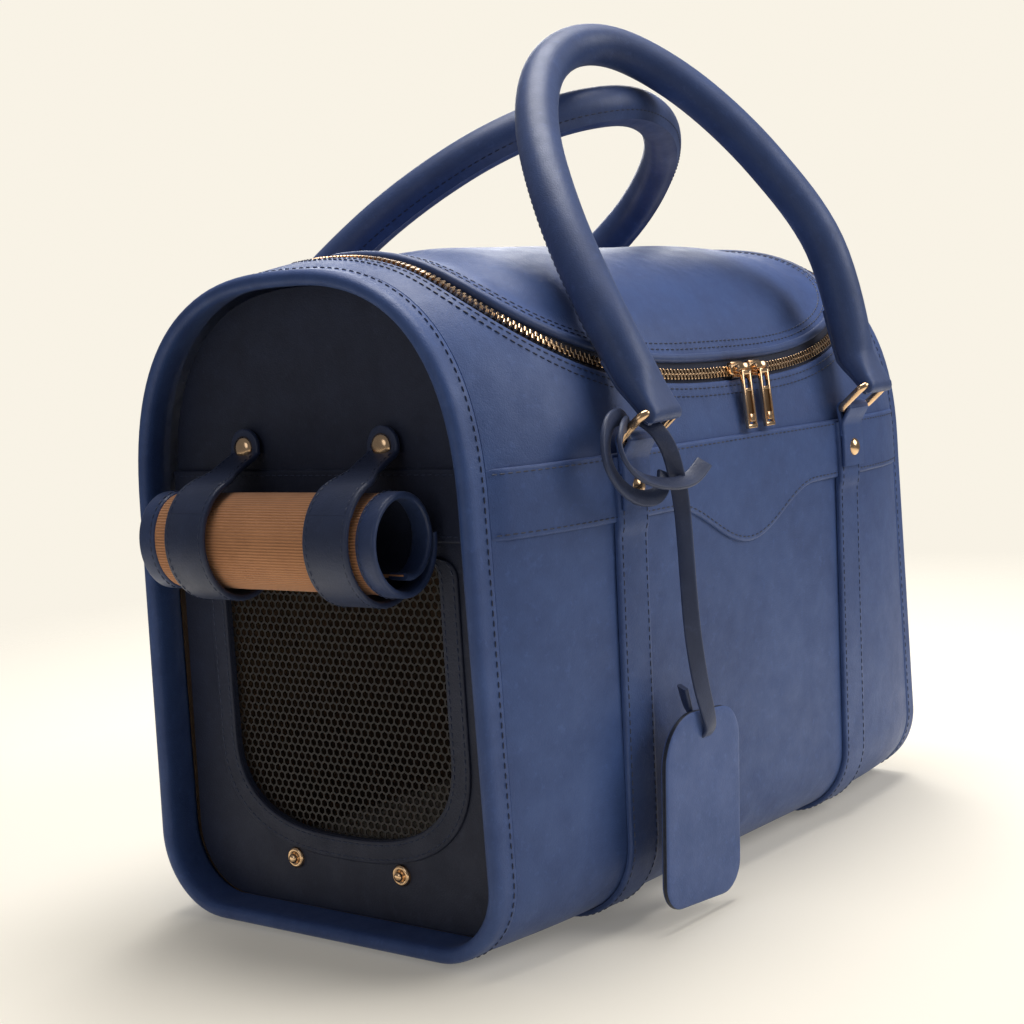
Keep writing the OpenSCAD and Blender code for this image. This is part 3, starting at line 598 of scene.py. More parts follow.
def skin_sheet(points, d0, d1, drop=None, build=None, wrap=False):
    """A sheet over rows of (x, q, extra) points, its outside dropped by drop(i, j)."""
    outer = [[skin(x, q, d1 + e - (drop(i, j) if drop else 0)) for j, (x, q, e) in enumerate(row)]
             for i, row in enumerate(points)]
    inner = [[skin(x, q, d0 + min(e, 0)) for x, q, e in row] for row in points]
    return (build or Build()).solid(outer, inner, wrap)


for side, s in (("front", -1), ("back", 1)):
    xs = spread(-SEAM_X, SEAM_X, 64)
    qs = [s * v for v in spread(1.0, 3.0, 44)]
    skin_sheet([[(x, q, slack(x, q)) for q in qs] for x in xs], -LEATHER, 0).make(
        "panel_" + side, NAVY, side + "_panel")

skin_sheet([[(x, q, 0) for q in spread(3.0, 5.0, 24)] for x in spread(-SEAM_X, SEAM_X, 24)],
           -LEATHER, BASE_Z - 0.2).make("base_leather", NAVY, "base_panel")

EDGE_IN = [0, 0.15, 0.45, 0.9, 1.5, 2.4]
BODY_EDGE, LID_EDGE = 4.2, 6.2
angles = spread(0, 360, 240)[:-1]


def surround_row(a):
    e = BODY_EDGE + (0.5 - BODY_EDGE) * hinge_part(a)
    c, s = math.cos(math.radians(a)), math.sin(math.radians(a))
    cx, sq = spow(c, 2 / ZIP_N), spow(s, 2 / ZIP_N)
    m = max(abs(cx), abs(sq))
    near, far = zip_point(a, e + 2.4), (SEAM_X * cx / m, sq / m)
    row = [zip_point(a, e + f) for f in EDGE_IN[:-1]]
    return row + [(near[0] + (far[0] - near[0]) * f, near[1] + (far[1] - near[1]) * f)
                  for f in spread(0, 1, 12)]


def surround_slack(j, x, q):
    return 0 if j < len(EDGE_IN) else slack(x, q, 0.5) * min(1, (j - 5) / 3)


skin_sheet([[(x, q, surround_slack(j, x, q)) for j, (x, q) in enumerate(surround_row(a))] for a in angles],
           -LEATHER, 0.2, lambda i, j: turned(EDGE_IN[j], 1.4) if j < len(EDGE_IN) else 0,
           wrap=True).make("top_leather", NAVY, "top_surround")


# The lid: a soft panel with a valley near its corners, a rolled edge and its lining
def lid_dent(x, q):
    inside = 1 - (abs(x) / ZIP_HX) ** ZIP_N - (abs(q - ZIP_Q) / ZIP_HQ) ** ZIP_N
    corner = min(abs(x) / 90, 1) ** 2
    valley = -3.2 * corner * math.exp(-((inside - 0.42) / 0.16) ** 2)
    return valley + 0.9 * noise.noise(Vector((x / 60, q * 2.5, 9))) * min(inside * 2, 1)


def lid_rows(e, nu, nv):
    rows = []
    for s in spread(-1, 1, nu):
        u = 0.998 * math.sin(math.pi * s / 2)
        h = (ZIP_HQ + e / GIRTH) * (1 - abs(u) ** ZIP_N) ** (1 / ZIP_N)
        rows.append([((ZIP_HX + e) * u, q) for q in spread(ZIP_Q - h, ZIP_Q + h, nv)])
    return rows


def lid_sheet(e, nu, nv, d0, d1):
    return skin_sheet([[(x, q, lid_dent(x, q)) for x, q in row] for row in lid_rows(e, nu, nv)], d0, d1)


lid_sheet(-LID_EDGE - 2.6, 72, 40, -LEATHER, 0.1).make("lid_leather", NAVY, "lid_panel")
lid_sheet(-14, 40, 24, -LEATHER - 1.7, -LEATHER - 0.6).make("lid_cloth", LINING, "lid_lining")

rows_out = []
turns = [TAU * k / 14 for k in range(14)]
for a in angles:
    open_e = LID_EDGE + (0.5 - LID_EDGE) * hinge_part(a)
    half = (LID_EDGE + 4.6 - open_e) / 2
    rows_out.append([zip_at(a, -open_e - half + half * math.cos(t), -1.0 + 2.3 * spow(math.sin(t), 0.8))
                     for t in turns])
Build().add([p for r in rows_out for p in r], loop_faces(len(rows_out), len(turns), closed=True)).make(
    "lid_rolled_edge", ROLLED, "lid_edge")

# A strip under the leather that closes the hinge while the lid turns
HINGE_REACH, HINGE_HX, HINGE_BEND = 7, 100, 4.5


def hinge_row(x, d):
    """Points across the hinge at x, d mm off the skin."""
    edge = ZIP_Q + ZIP_HQ * (1 - (abs(x) / ZIP_HX) ** ZIP_N) ** (1 / ZIP_N)
    across = (HINGE_REACH, HINGE_BEND, 3, 1.5, 0, -1.5, -3, -HINGE_BEND, -HINGE_REACH)
    return [skin(x, edge + e / GIRTH, d) for e in across]


xs, bend_row = spread(-HINGE_HX, HINGE_HX, 40), hinge_row(0, -3.6)
Build().solid([hinge_row(x, -3.2) for x in xs], [hinge_row(x, -4.1) for x in xs]).make(
    "lid_hinge_strip", NAVY, bend=("bag", "lid", bend_row[1], bend_row[-2]))

# ---- zip ------------------------------------------------------------------
TOOTH_PITCH = 3.2
zip_angles = spread(90 + HINGE_HALF + 10, 450 - HINGE_HALF - 10, 900)


def zip_line(e, d, some=zip_angles):
    pts = [zip_at(a, e, d) for a in some]
    return pts, [skin_normal(*zip_point(a, e)) for a in some]


for side, s in (("body", 1), ("lid", -1)):
    some = spread(90 + HINGE_HALF, 450 - HINGE_HALF, 190)
    mid, _ = zip_line(0, 0, some)
    es = [s * v for v in (0.6, 2.2, 4, 6, 8, 10)]
    face, rear = ([[zip_at(a, e, d) for e in es] for a in some] for d in (-2.7, -3.6))
    Build().solid(face, rear, arc=[[r + abs(e) for e in es] for r in lengths(mid)]).make(
        "tape_" + side, TAPE, "zip_tape_" + side)
    offset = 0.0 if s > 0 else 0.5
    places = resample(*zip_line(0, 0), TOOTH_PITCH, start=1.0 + offset * TOOTH_PITCH)
    teeth = Stamp(*worn_box((1.5, 3.3, 2.2), 0.28, 1))
    teeth.put([(p - n.cross(t) * s * 1.2 + n * -0.8, t, n) for p, t, n in places])
    teeth.build.make("teeth_" + side, GOLD, "zip_teeth_" + side, sharp=25)

# Two rows of stitches on each side of the zip
for group, e in (("bag", BODY_EDGE + 3.0), ("bag", BODY_EDGE + 6.6),
                 ("lid", -(LID_EDGE + 7.2)), ("lid", -(LID_EDGE + 10.8))):
    places = [zip_point(a, e) for a in zip_angles[::3]]
    sew_skin(group, [(x, q, 0.2 if e > 0 else 0.1 + lid_dent(x, q)) for x, q in places], 0.12)

# ---- rims, end panels, windows --------------------------------------------
RIM = [(205.6, -0.9), (206.3, 0.2), (207.4, 0.85), (210, 1.0), (214, 1.0), (216.6, 0.7), (218.7, -0.5), (219.8, -2.3),
       (219.8, -4.3), (218.9, -6.0), (217.2, -7.0), (214, -7.2), (206, -7.0), (197.2, -7.0), (197.2, -4.8), (205.6, -4.6)]


def end_ring(d, n=200):
    return [skin(HALF_L, -4 + 8 * i / n, d) for i in range(n)]


def ray_out(loop, cy, cz, a):
    """Where the ray at angle a from (cy, cz) leaves a closed loop of points in Y and Z."""
    dy, dz = math.cos(a), math.sin(a)
    best = 0.0
    for p, q in zip(loop, loop[1:] + loop[:1]):
        (py, pz), (qy, qz) = (p[0] - cy, p[1] - cz), (q[0] - cy, q[1] - cz)
        ey, ez = qy - py, qz - pz
        det = dy * -ez + ey * dz
        if abs(det) < 1e-9:
            continue
        r = (py * -ez + ey * pz) / det
        f = (dy * pz - dz * py) / det
        if -1e-6 <= f <= 1 + 1e-6 and r > best:
            best = r
    return cy + dy * best, cz + dz * best


def window_loop(g, n=96):
    hw, rise, out = WINDOW_HW + g, ARC_RISE + g, []
    for i in range(n + 1):
        a = math.pi + math.pi * i / n
        out.append((hw * spow(math.cos(a), 2 / 2.6), WINDOW_Z0 + ARC_RISE + rise * spow(math.sin(a), 2 / 2.6)))
    for c in (1, -1):
        for i in range(7):
            a = math.radians(90 * i / 6 + (0 if c > 0 else 90))
            out.append((c * (hw - 9) + 9 * math.cos(a), WINDOW_Z1 - 9 + 9 * math.sin(a)))
    return out


def on_end(s, depth, y, z):
    """A point depth mm outside an end panel."""
    return Vector((s * (PANEL_X + depth), y, z))


def end_slack(y, z, f):
    """Soft unevenness of an end panel, f of the way from its window to its rim."""
    swing = math.sin(math.pi * f)
    return -(0.5 * noise.noise(Vector((y / 40, z / 40, 2))) * swing) - 0.3 * swing


def hexagon(cy, cz, r):
    return [(cy + r * math.sin(TAU * k / 6), cz + r * math.cos(TAU * k / 6)) for k in range(6)]


panel_loop = [(p.y, p.z) for p in end_ring(-7.2, 240)]
ray_angles = spread(-math.pi / 2, 1.5 * math.pi, 220)[:-1]
hole = [ray_out(window_loop(0), 0, 125, a) for a in ray_angles]
rim_loop = [ray_out(panel_loop, 0, 125, a) for a in ray_angles]


def band_half(z):
    """Half width of the end panel at height z."""
    return max(abs(y) for (y, a), (_, b) in zip(panel_loop, panel_loop[1:])
               if min(a, b) - 0.1 <= z <= max(a, b) + 2.6)


def in_loop(loop, y, z):
    inside = False
    for (ay, az), (by, bz) in zip(loop, loop[1:] + loop[:1]):
        if (az > z) != (bz > z) and y < (by - ay) * (z - az) / (bz - az) + ay:
            inside = not inside
    return inside


NET_PITCH, WIRE, RIM_SEW_X, RIM_N = 4.6, 0.55, 208.6, 220
for end, s in (("near", -1), ("far", 1)):
    outwards = Vector((s, 0, 0))
    ring = [[skin(s * x, -4 + 8 * i / RIM_N, d) for x, d in RIM] for i in range(RIM_N)]
    Build().add([p for r in ring for p in r], loop_faces(RIM_N, len(RIM), closed=True)).make(
        "rim_roll_" + end, NAVY, "rim_" + end, sharp=60)
    sew_skin("bag", [(s * RIM_SEW_X, -4 + 8 * i / 400, 1.0) for i in range(400)], 0.05, 4.8, closed=True)

    # End panel, window facing and band take the darker end leather: painted shade of the ends.
    fs = [0, 0.02, 0.1, 0.3, 0.55, 0.8, 0.95, 1.0]
    face = [[on_end(s, end_slack(hy, hz, f), hy + (ry - hy) * f, hz + (rz - hz) * f) for f in fs]
            for (hy, hz), (ry, rz) in zip(hole, rim_loop)]
    rear = [[on_end(s, -LEATHER, p.y, p.z) for p in row] for row in face]
    Build().solid(face, rear, wrap=True).make("shaded_end_leather_" + end, SHADED_END_LEATHER, "end_panel_" + end)

    gs = edge_spread(0.15, FACING_W, 4, 2.0)
    loops = {g: window_loop(g) for g in gs}
    m = len(loops[gs[0]])
    drops = {g: turned(min(g - gs[0], gs[-1] - g), 0.9) for g in gs}
    face = [[on_end(s, 1.25 - drops[g], *loops[g][i]) for g in gs] for i in range(m)]
    rear = [[on_end(s, 0.05, *loops[g][i]) for g in gs] for i in range(m)]
    Build().solid(face, rear, wrap=True).make("facing_" + end, SHADED_END_LEATHER, "window_facing_" + end)
    for g in (2.4, FACING_W - 2.4):
        sew("end_bag", [on_end(s, 1.25, y, z) for y, z in window_loop(g)], [outwards] * m, 0.05, 4.2, closed=True)

    zs = edge_spread(YOKE_Z0 - 2, YOKE_Z1, 5)
    face, rear = [], []
    for z in zs:
        hy = band_half(z) - 0.3
        drop = turned(min(z - zs[0], zs[-1] - z), 1.3)
        face.append([on_end(s, 2.2 - drop, y, z) for y in spread(-hy, hy, 30)])
        rear.append([on_end(s, 0.05, y, z) for y in spread(-hy, hy, 30)])
    Build().solid(face, rear).make("band_" + end, SHADED_END_LEATHER, "end_band_" + end)
    for z in (YOKE_Z1 - 3, YOKE_Z0 + 1.4):
        hy = band_half(z) - 2
        sew("end_bag", [on_end(s, 2.2, y, z) for y in spread(-hy, hy, 40)], [outwards] * 41, 0.05)

    # A honeycomb net, cut to the window and sewn in behind it
    net, outline, area = Build(), window_loop(8, 60), 0.0
    half = NET_PITCH / math.sqrt(3)
    hollow = half - WIRE * 1.15
    for row in range(int(170 / (1.5 * half)) + 1):
        for col in range(int(170 / NET_PITCH) + 2):
            cy = -84 + col * NET_PITCH + (NET_PITCH / 2 if row % 2 else 0)
            cz = 41 + row * 1.5 * half
            corners, inner = hexagon(cy, cz, half), hexagon(cy, cz, hollow)
            if not all(in_loop(outline, *c) for c in corners):
                continue
            v = [on_end(s, -LEATHER - d, *c) for d, cell in (
                (0.6, corners), (0.6, inner), (1.1, inner), (1.1, corners)) for c in cell]
            f = []
            for i in range(6):
                j = (i + 1) % 6
                f += [(i, j, 6 + j, 6 + i), (6 + i, 6 + j, 12 + j, 12 + i), (12 + i, 12 + j, 18 + j, 18 + i)]
            net.add(v, f)
            area += 1.5 * math.sqrt(3) * (half ** 2 - hollow ** 2) + 3 * 0.5 * half
    ob = net.make("net_" + end, NET, "mesh_window_" + end)

# ---- lining, board and mat ------------------------------------------------
LINING_X = PANEL_X - 4.6
qs = spread(1.01, 6.99, 96)
lining_ob = skin_sheet([[(x, q, 0) for q in qs] for x in spread(-LINING_X, LINING_X, 30)],
                       -LEATHER - 1.9, -LEATHER - 0.9).make("lining_cloth", LINING, "lining")


def cushion(name, node, z0, z1, hx, hy, r, crown, mat, cell):
    """A soft block with rounded sides and a crowned top, sewn down in a grid of cells."""
    loops = []
    for inset, h in ((1.4, 0.0), (0.3, 0.16), (0.0, 0.4), (0.0, 0.62), (0.5, 0.84), (1.8, 0.97)):
        pts = []
        for i in range(96):
            a = TAU * i / 96
            cx, cy = math.copysign(hx - r, math.cos(a)), math.copysign(hy - r, math.sin(a))
            pts.append(Vector((cx + (r - inset) * math.cos(a), cy + (r - inset) * math.sin(a), z0 + (z1 - z0) * h)))
        loops.append(pts)
    dense = []
    for loop in loops:
        out = []
        for i, (p, q) in enumerate(zip(loop, loop[1:] + loop[:1])):
            steps = max(1, round((loops[3][(i + 1) % 96] - loops[3][i]).length / 12))
            out += [p.lerp(q, k / steps) for k in range(steps)]
        dense.append(out)
    for f in (0.94, 0.86, 0.76, 0.64, 0.5, 0.36, 0.22, 0.1):
        row = []
        for p in dense[5]:
            x, y = p.x * f, p.y * f
            quilt = abs(math.sin(math.pi * x / cell) * math.sin(math.pi * y / cell)) ** 0.5
            row.append(Vector((x, y, z1 - crown * (1 - quilt))))
        dense.append(row)
    k = len(dense[0])
    last = (len(dense) - 1) * k
    verts = [p for loop in dense for p in loop] + [Vector((0, 0, z1 - crown))]
    faces = loop_faces(len(dense), k) + [(last + j, last + (j + 1) % k, len(verts) - 1) for j in range(k)]
    return Build().add(verts, faces + [tuple(range(k - 1, -1, -1))]).make(name, mat, node)


low, high = (v / MM for v in map(Vector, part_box("cushion_mat")))
mat_ob = cushion("mat_padded", "cushion_mat", low.z, high.z, high.x, high.y, 16, 2.6, MAT_CLOTH, 48)
low, high = (v / MM for v in map(Vector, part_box("base_board")))
cushion("board_stiff", "base_board", low.z, high.z, high.x, high.y, 12, 0.0, BOARD, 500)

# ---- yoke and straps ------------------------------------------------------
for side, s in (("front", -1), ("back", 1)):
    xs = spread(-SEAM_X + 0.3, SEAM_X - 0.3, 120)
    rows, drops = [], []
    for x in xs:
        vs = edge_spread(YOKE_Z0 - wave(x), YOKE_Z1, 8)
        tuck = -1.6 * min(max(abs(x) - 199, 0) / 6, 1)
        rows.append([(x, s * q_at(z, x), tuck) for z in vs])
        drops.append([turned(min(z - vs[0], vs[-1] - z), 1.4) for z in vs])
    skin_sheet(rows, 0.2, YOKE_OUT, lambda i, j: drops[i][j]).make("yoke_leather_" + side, NAVY, "yoke_" + side)
    for height in (lambda x: YOKE_Z1 - 2.8, lambda x: YOKE_Z0 - wave(x) + 2.8):
        sew_skin("bag", [(x, s * q_at(height(x), x), YOKE_OUT) for x in xs], 0.08)

STRAP_END = 238


def strap_line(x0, s):
    """(q, lift) down a side strap, up to under the ring's fold."""
    out = [(q, 0.35) for q in spread(-2.99, -2.03, 16)]
    for z in spread(BASE_Z + CORNER_R, YOKE_Z0 - 8, 20) + [201, 204] + spread(207, STRAP_END, 6):
        lift = 0.35 if z < 199 else OVER_YOKE if z > 203.5 else 0.35 + 1.45 * (z - 199) / 4.5
        out.append((-q_at(z, x0), lift))
    return [(-s * q, e) for q, e in out] if s > 0 else out


for end, ex in (("near", -STRAP_X), ("far", STRAP_X)):
    straps = Build()
    across = edge_spread(-STRAP_W / 2, STRAP_W / 2, 4)
    for s in (-1, 1):
        line = strap_line(ex, s)
        drops = [turned(min(a + STRAP_W / 2, STRAP_W / 2 - a), 1.5) for a in across]
        skin_sheet([[(ex + a, q, e) for a in across] for q, e in line], 0.1, STRAP_OUT, lambda i, j: drops[j], straps)
        for a in (-STRAP_W / 2 + 2.6, STRAP_W / 2 - 2.6):
            sew_skin("bag", [(ex + a, q, STRAP_OUT + e) for q, e in line[:-4]], 0.05)
        # The fold round the ring's bar, with its tail riveted to the strap
        wall = skin(ex, s * q_at(234, ex), OVER_YOKE + STRAP_OUT).y
        bar = Vector((ex, s * RING_Y, RING_Z))
        path = [Vector((ex, wall + s * 1.0, 230)), Vector((ex, wall + s * 0.9, 237))]
        path += [bar + 3.55 * Vector((0, -s * math.cos(a), math.sin(a)))
                 for a in spread(math.radians(-10), math.radians(190), 16)]
        tail = skin(ex, s * q_at(220, ex), OVER_YOKE + STRAP_OUT + 1.5).y
        path += [Vector((ex, tail - s * 0.1, 238)), Vector((ex, tail, 232)), Vector((ex, tail, 222)),
                 Vector((ex, skin(ex, s * q_at(212, ex), 5.2).y, 212))]
        path = curve(path, 2)
        straps.ribbon(path, Vector((1, 0, 0)), [(a, b - 1.2) for a, b in round_rect(STRAP_W - 1.4, 2.4, 1.0)])
    straps.make("strap_pair_" + end, NAVY, "body_strap_" + end)

rivets = Build()
for x in (-STRAP_X, STRAP_X):
    for s in (-1, 1):
        y = skin(x, s * q_at(224, x), OVER_YOKE + STRAP_OUT + 2.6).y
        profile = [(0, -1.5), (5.2, -1.5), (5.2, 0.3), (4.9, 0.8), (4.2, 1.5), (3.0, 2.2), (1.6, 2.6), (0, 2.75)]
        rivets.lathe(profile, (x, y, 223), (0, s, 0))
rivets.make("rivet_domes", GOLD, "strap_rivets", sharp=50)

# ---- rings ----------------------------------------------------------------
for end, ex in (("near", -STRAP_X), ("far", STRAP_X)):
    for side, s in (("front", -1), ("back", 1)):
        out = Vector((0, s * math.cos(math.radians(RING_TILT)), math.sin(math.radians(RING_TILT))))
        hx, r, pts = BAR_W / 2, 4.6, []
        for cx, cy, a0 in ((1, 1, 0), (-1, 1, 90), (-1, 0, 180), (1, 0, 270)):
            for k in range(9):
                a = math.radians(a0 + 90 * k / 8)
                u = cx * (hx - r) + r * math.cos(a)
                v = (RING_LEN - r if cy else r) + r * math.sin(a)
                pts.append(Vector((ex + u, s * RING_Y, RING_Z)) + out * v)
        flat = Vector((1, 0, 0)).cross(out).normalized()
        name = "ring_%s_%s" % (end, side)
        Build().ribbon(pts, flat, circle(WIRE_D / 2, 20), closed=True).make("wire_" + name, GOLD, name, sharp=70)

# ---- handles --------------------------------------------------------------
FRONT = [(-115, -141, 277), (-116, -122.8, 310), (-100, -89, 360), (-68, -54, 408), (-30, -32, 444), (10, -26, 463),
         (42, -38, 461), (69, -67, 435), (92, -99, 393), (108, -127, 342), (114, -141, 277)]
BACK = [(-107, 137, 281), (-94, 111, 323), (-71, 64, 368), (-44, 21, 400), (-12, -12, 420), (23, -31, 429),
        (62, -32, 430), (110, -16, 422), (152, 15, 404), (175, 58, 373), (159, 107, 328), (121, 141, 281)]
HANDLE_R = 11.8


def super_round(w, t, n, ridge=0.0, sides=36):
    """A rounded section between a circle and a flat tab, with an optional seam ridge along its bag side."""
    out = []
    for k in range(sides):
        a = TAU * k / sides
        g = 1 + ridge * math.exp(-((a - math.pi / 2) / 0.11) ** 2)
        out.append((w / 2 * spow(math.cos(a), 2 / n) * g, t / 2 * spow(math.sin(a), 2 / n) * g))
    return out


for side, route, s, facing in (("front", FRONT, -1, Vector((0, 0.87, -0.5))),
                               ("back", BACK, 1, Vector((0, -0.68, -0.73)))):
    line = curve(route, 8)
    middle = sum((Vector(p) for p in route), Vector()) / len(route) - Vector((0, 0, 30))
    bars = [Vector((math.copysign(STRAP_X, p[0]), s * BAR_Y, BAR_Z)) for p in (route[0], route[-1])]
    us, vs = [], []

    def tab(bar, top, flip):
        """Stations from past the ring's bar up to the tube's end."""
        d = (top - bar).normalized()
        length = (top - bar).length
        rows = [(-4.9, 25.0, 1.6, 5), (-4.5, 25.6, 4.2, 5), (-3.4, 26, 7.0, 5), (-1.6, 26.2, 9.2, 5),
                (0, 26.2, 9.8, 4.5),
                (length * 0.22, 26.2, 10.6, 4), (length * 0.42, 26, 12.4, 3.4), (length * 0.62, 25.6, 14.8, 2.9),
                (length * 0.82, 25.2, 17.6, 2.5)]
        return [(bar + d * h, super_round(w, t, n), Vector((flip, 0, 0))) for h, w, t, n in rows]

    first = tab(bars[0], line[0], 1)
    last = tab(bars[1], line[-1], -1)
    stations = list(first)
    for i, p in enumerate(line):
        end_dist = min((p - line[0]).length, (p - line[-1]).length)
        grow = min(1, max(0, (end_dist - 4) / 18))
        u = (middle - p).normalized()
        mix = max(0, 1 - end_dist / 60)
        u = (u * (1 - mix) + Vector((1 if i < len(line) / 2 else -1, 0, 0)) * mix).normalized()
        flat = max(0, 1 - end_dist / 34) ** 1.5
        shape = super_round(2 * HANDLE_R + 1.2 * flat, 2 * HANDLE_R - 3.6 * flat, 2 + 0.2 * flat, 0.11 * grow)
        stations.append((p, shape, u))
    stations += last[::-1]
    centres = [st[0] for st in stations]
    for i, (p, _, u) in enumerate(stations):
        t = (centres[min(i + 1, len(centres) - 1)] - centres[max(i - 1, 0)]).normalized()
        u = (u - t * u.dot(t)).normalized()
        v = t.cross(u)
        us.append(u)
        vs.append(v if v.dot(facing) > 0 else -v)
    body = "handle_" + side
    Build().sweep(centres, us, vs, [st[1] for st in stations]).make(
        "rolled_handle_" + side, ROLLED, ("handle_" + side, "handle_tabs_" + side), sharp=55)
    necks = Build()
    count = len(stations)
    for rows, sign in ((range(2, len(first) + 5), 1), (range(count - 3, count - len(last) - 6, -1), -1)):
        for off in (0.34, 0.62):
            a = math.pi / 2 + sign * off
            path = []
            for i in rows:
                k = int(a / TAU * 36)
                (u0, v0), (u1, v1), f = *stations[i][1][k:k + 2], a / TAU * 36 - k
                path.append(centres[i] + us[i] * (u0 * (1 - f) + u1 * f) + vs[i] * (v0 * (1 - f) + v1 * f))
            necks.ribbon(path, us[rows[0]], circle(1.25, 10))
    necks.make("handle_necks_" + side, ROLLED, body=body, sharp=70)
    a, tube = math.pi / 2 + 0.42, slice(len(first) + 2, -len(last) - 2)
    out = [u * math.cos(a) + v * math.sin(a) for u, v in zip(us, vs)]
    pts = [c + v * HANDLE_R for c, v in zip(centres, out)]
    sew(body, pts[tube], [v.normalized() for v in out[tube]], 0.05)

# ---- sliders and pulls ----------------------------------------------------
SLIDER_Q = ZIP_Q - ZIP_HQ
for which, x0 in (("left", SLIDER_MID - SLIDER_GAP), ("right", SLIDER_MID + SLIDER_GAP)):
    at = skin(x0, SLIDER_Q, 0)
    T, N = Vector((1, 0, 0)), skin_normal(x0, SLIDER_Q)
    B = N.cross(T).normalized()
    frame_m = Matrix((T, B, N)).transposed()
    place = lambda t, b, n: at + T * t + B * b + N * n
    body = Build()
    rows = ((-7.4, 4.6, 2.2), (-6.6, 6.0, 2.9), (-2, 7.0, 3.3), (2, 8.0, 3.4), (6.4, 8.2, 3.0), (7.4, 7.2, 2.2))
    sections = [[(a, b + 0.2) for a, b in round_rect(w, h, 0.9, 2)] for _, w, h in rows]
    body.sweep([place(t, 0, 0.2) for t, _, _ in rows], [B] * 6, [N] * 6, sections)
    for b in (-3.9, 3.9):
        body.block(place(1, b, 1.1), (11.5, 1.3, 3.0), frame_m, 0.45)
    body.block(place(0, 0, 4.0), (6.4, 4.4, 1.6), frame_m, 0.6)
    arch = [place(t, 0, n) for t, n in (
        (-4.4, 2.8), (-4.5, 5.6), (-3.2, 7.9), (0, 8.8), (3.2, 7.9), (4.5, 5.6), (4.4, 2.8))]
    body.ribbon(curve(arch, 4), B, [(a, b - 0.8) for a, b in round_rect(3.4, 1.6, 0.6, 2)])
    body.make("zip_slider_" + which, GOLD, "slider_" + which, sharp=30)

    between = skin(SLIDER_MID, SLIDER_Q, 0)
    pivot = Vector((x0, between.y - 7.2, between.z - 1.5))
    turn = Matrix.Rotation(math.radians(-5), 3, "X")
    spot = lambda x, y, z: pivot + turn @ Vector((x, y, z))
    pull = Build()
    pull.ribbon([spot(x, 0, 0) for x in (-4.6, -2, 2, 4.6)], turn @ Vector((0, 1, 0)), circle(1.15, 12))
    for where, size, bevel, slot in (
            ((-3.7, 0, -14.2), (1.8, 2.4, 31), 0.5, 0), ((3.7, 0, -14.2), (1.8, 2.4, 31), 0.5, 0),
            ((0, 0, 1.0), (8.6, 2.3, 1.8), 0.6, 0), ((0, 0, -9.2), (7.6, 2.1, 1.9), 0.5, 0),
            ((0, 0.35, -16.5), (6.6, 0.8, 14.5), 0.2, 1), ((0, -0.3, -24.6), (4.6, 2.7, 4.6), 0.8, 0),
            ((0, 0, -29.2), (9.4, 2.8, 2.4), 0.7, 0)):
        pull.block(spot(*where), size, turn, bevel, slot)
    pull.make("zip_pull_" + which, [GOLD, DIM], "pull_" + which, sharp=30)

# ---- rolled flaps, their straps and snaps ---------------------------------
SPIRAL_TURNS, SPIRAL_R = 1.27, ROLL_R - 1.7


def around(s, r, a, y, dx=0.0, dz=0.0):
    """A point at radius r and angle a about a roll, which is a little taller than deep; 0 points to the bag."""
    return Vector((s * (ROLL_X - r * 0.95 * math.cos(a) + dx), y, ROLL_Z + r * 1.07 * math.sin(a) + dz))


def spiral(s, y, grow=0.0):
    """The rolled cloth: from the seam down, under, up the front, over and round inside again."""
    pts = []
    for k in range(121):
        t = TAU * SPIRAL_TURNS * k / 120
        r = SPIRAL_R - 3.6 * t / TAU - 4.5 * max(0, t / TAU - 1) / 0.27 + 0.25 * math.sin(3 * t + y / 40)
        pts.append(around(s, r + grow, 0.1 - t, y))
    return pts


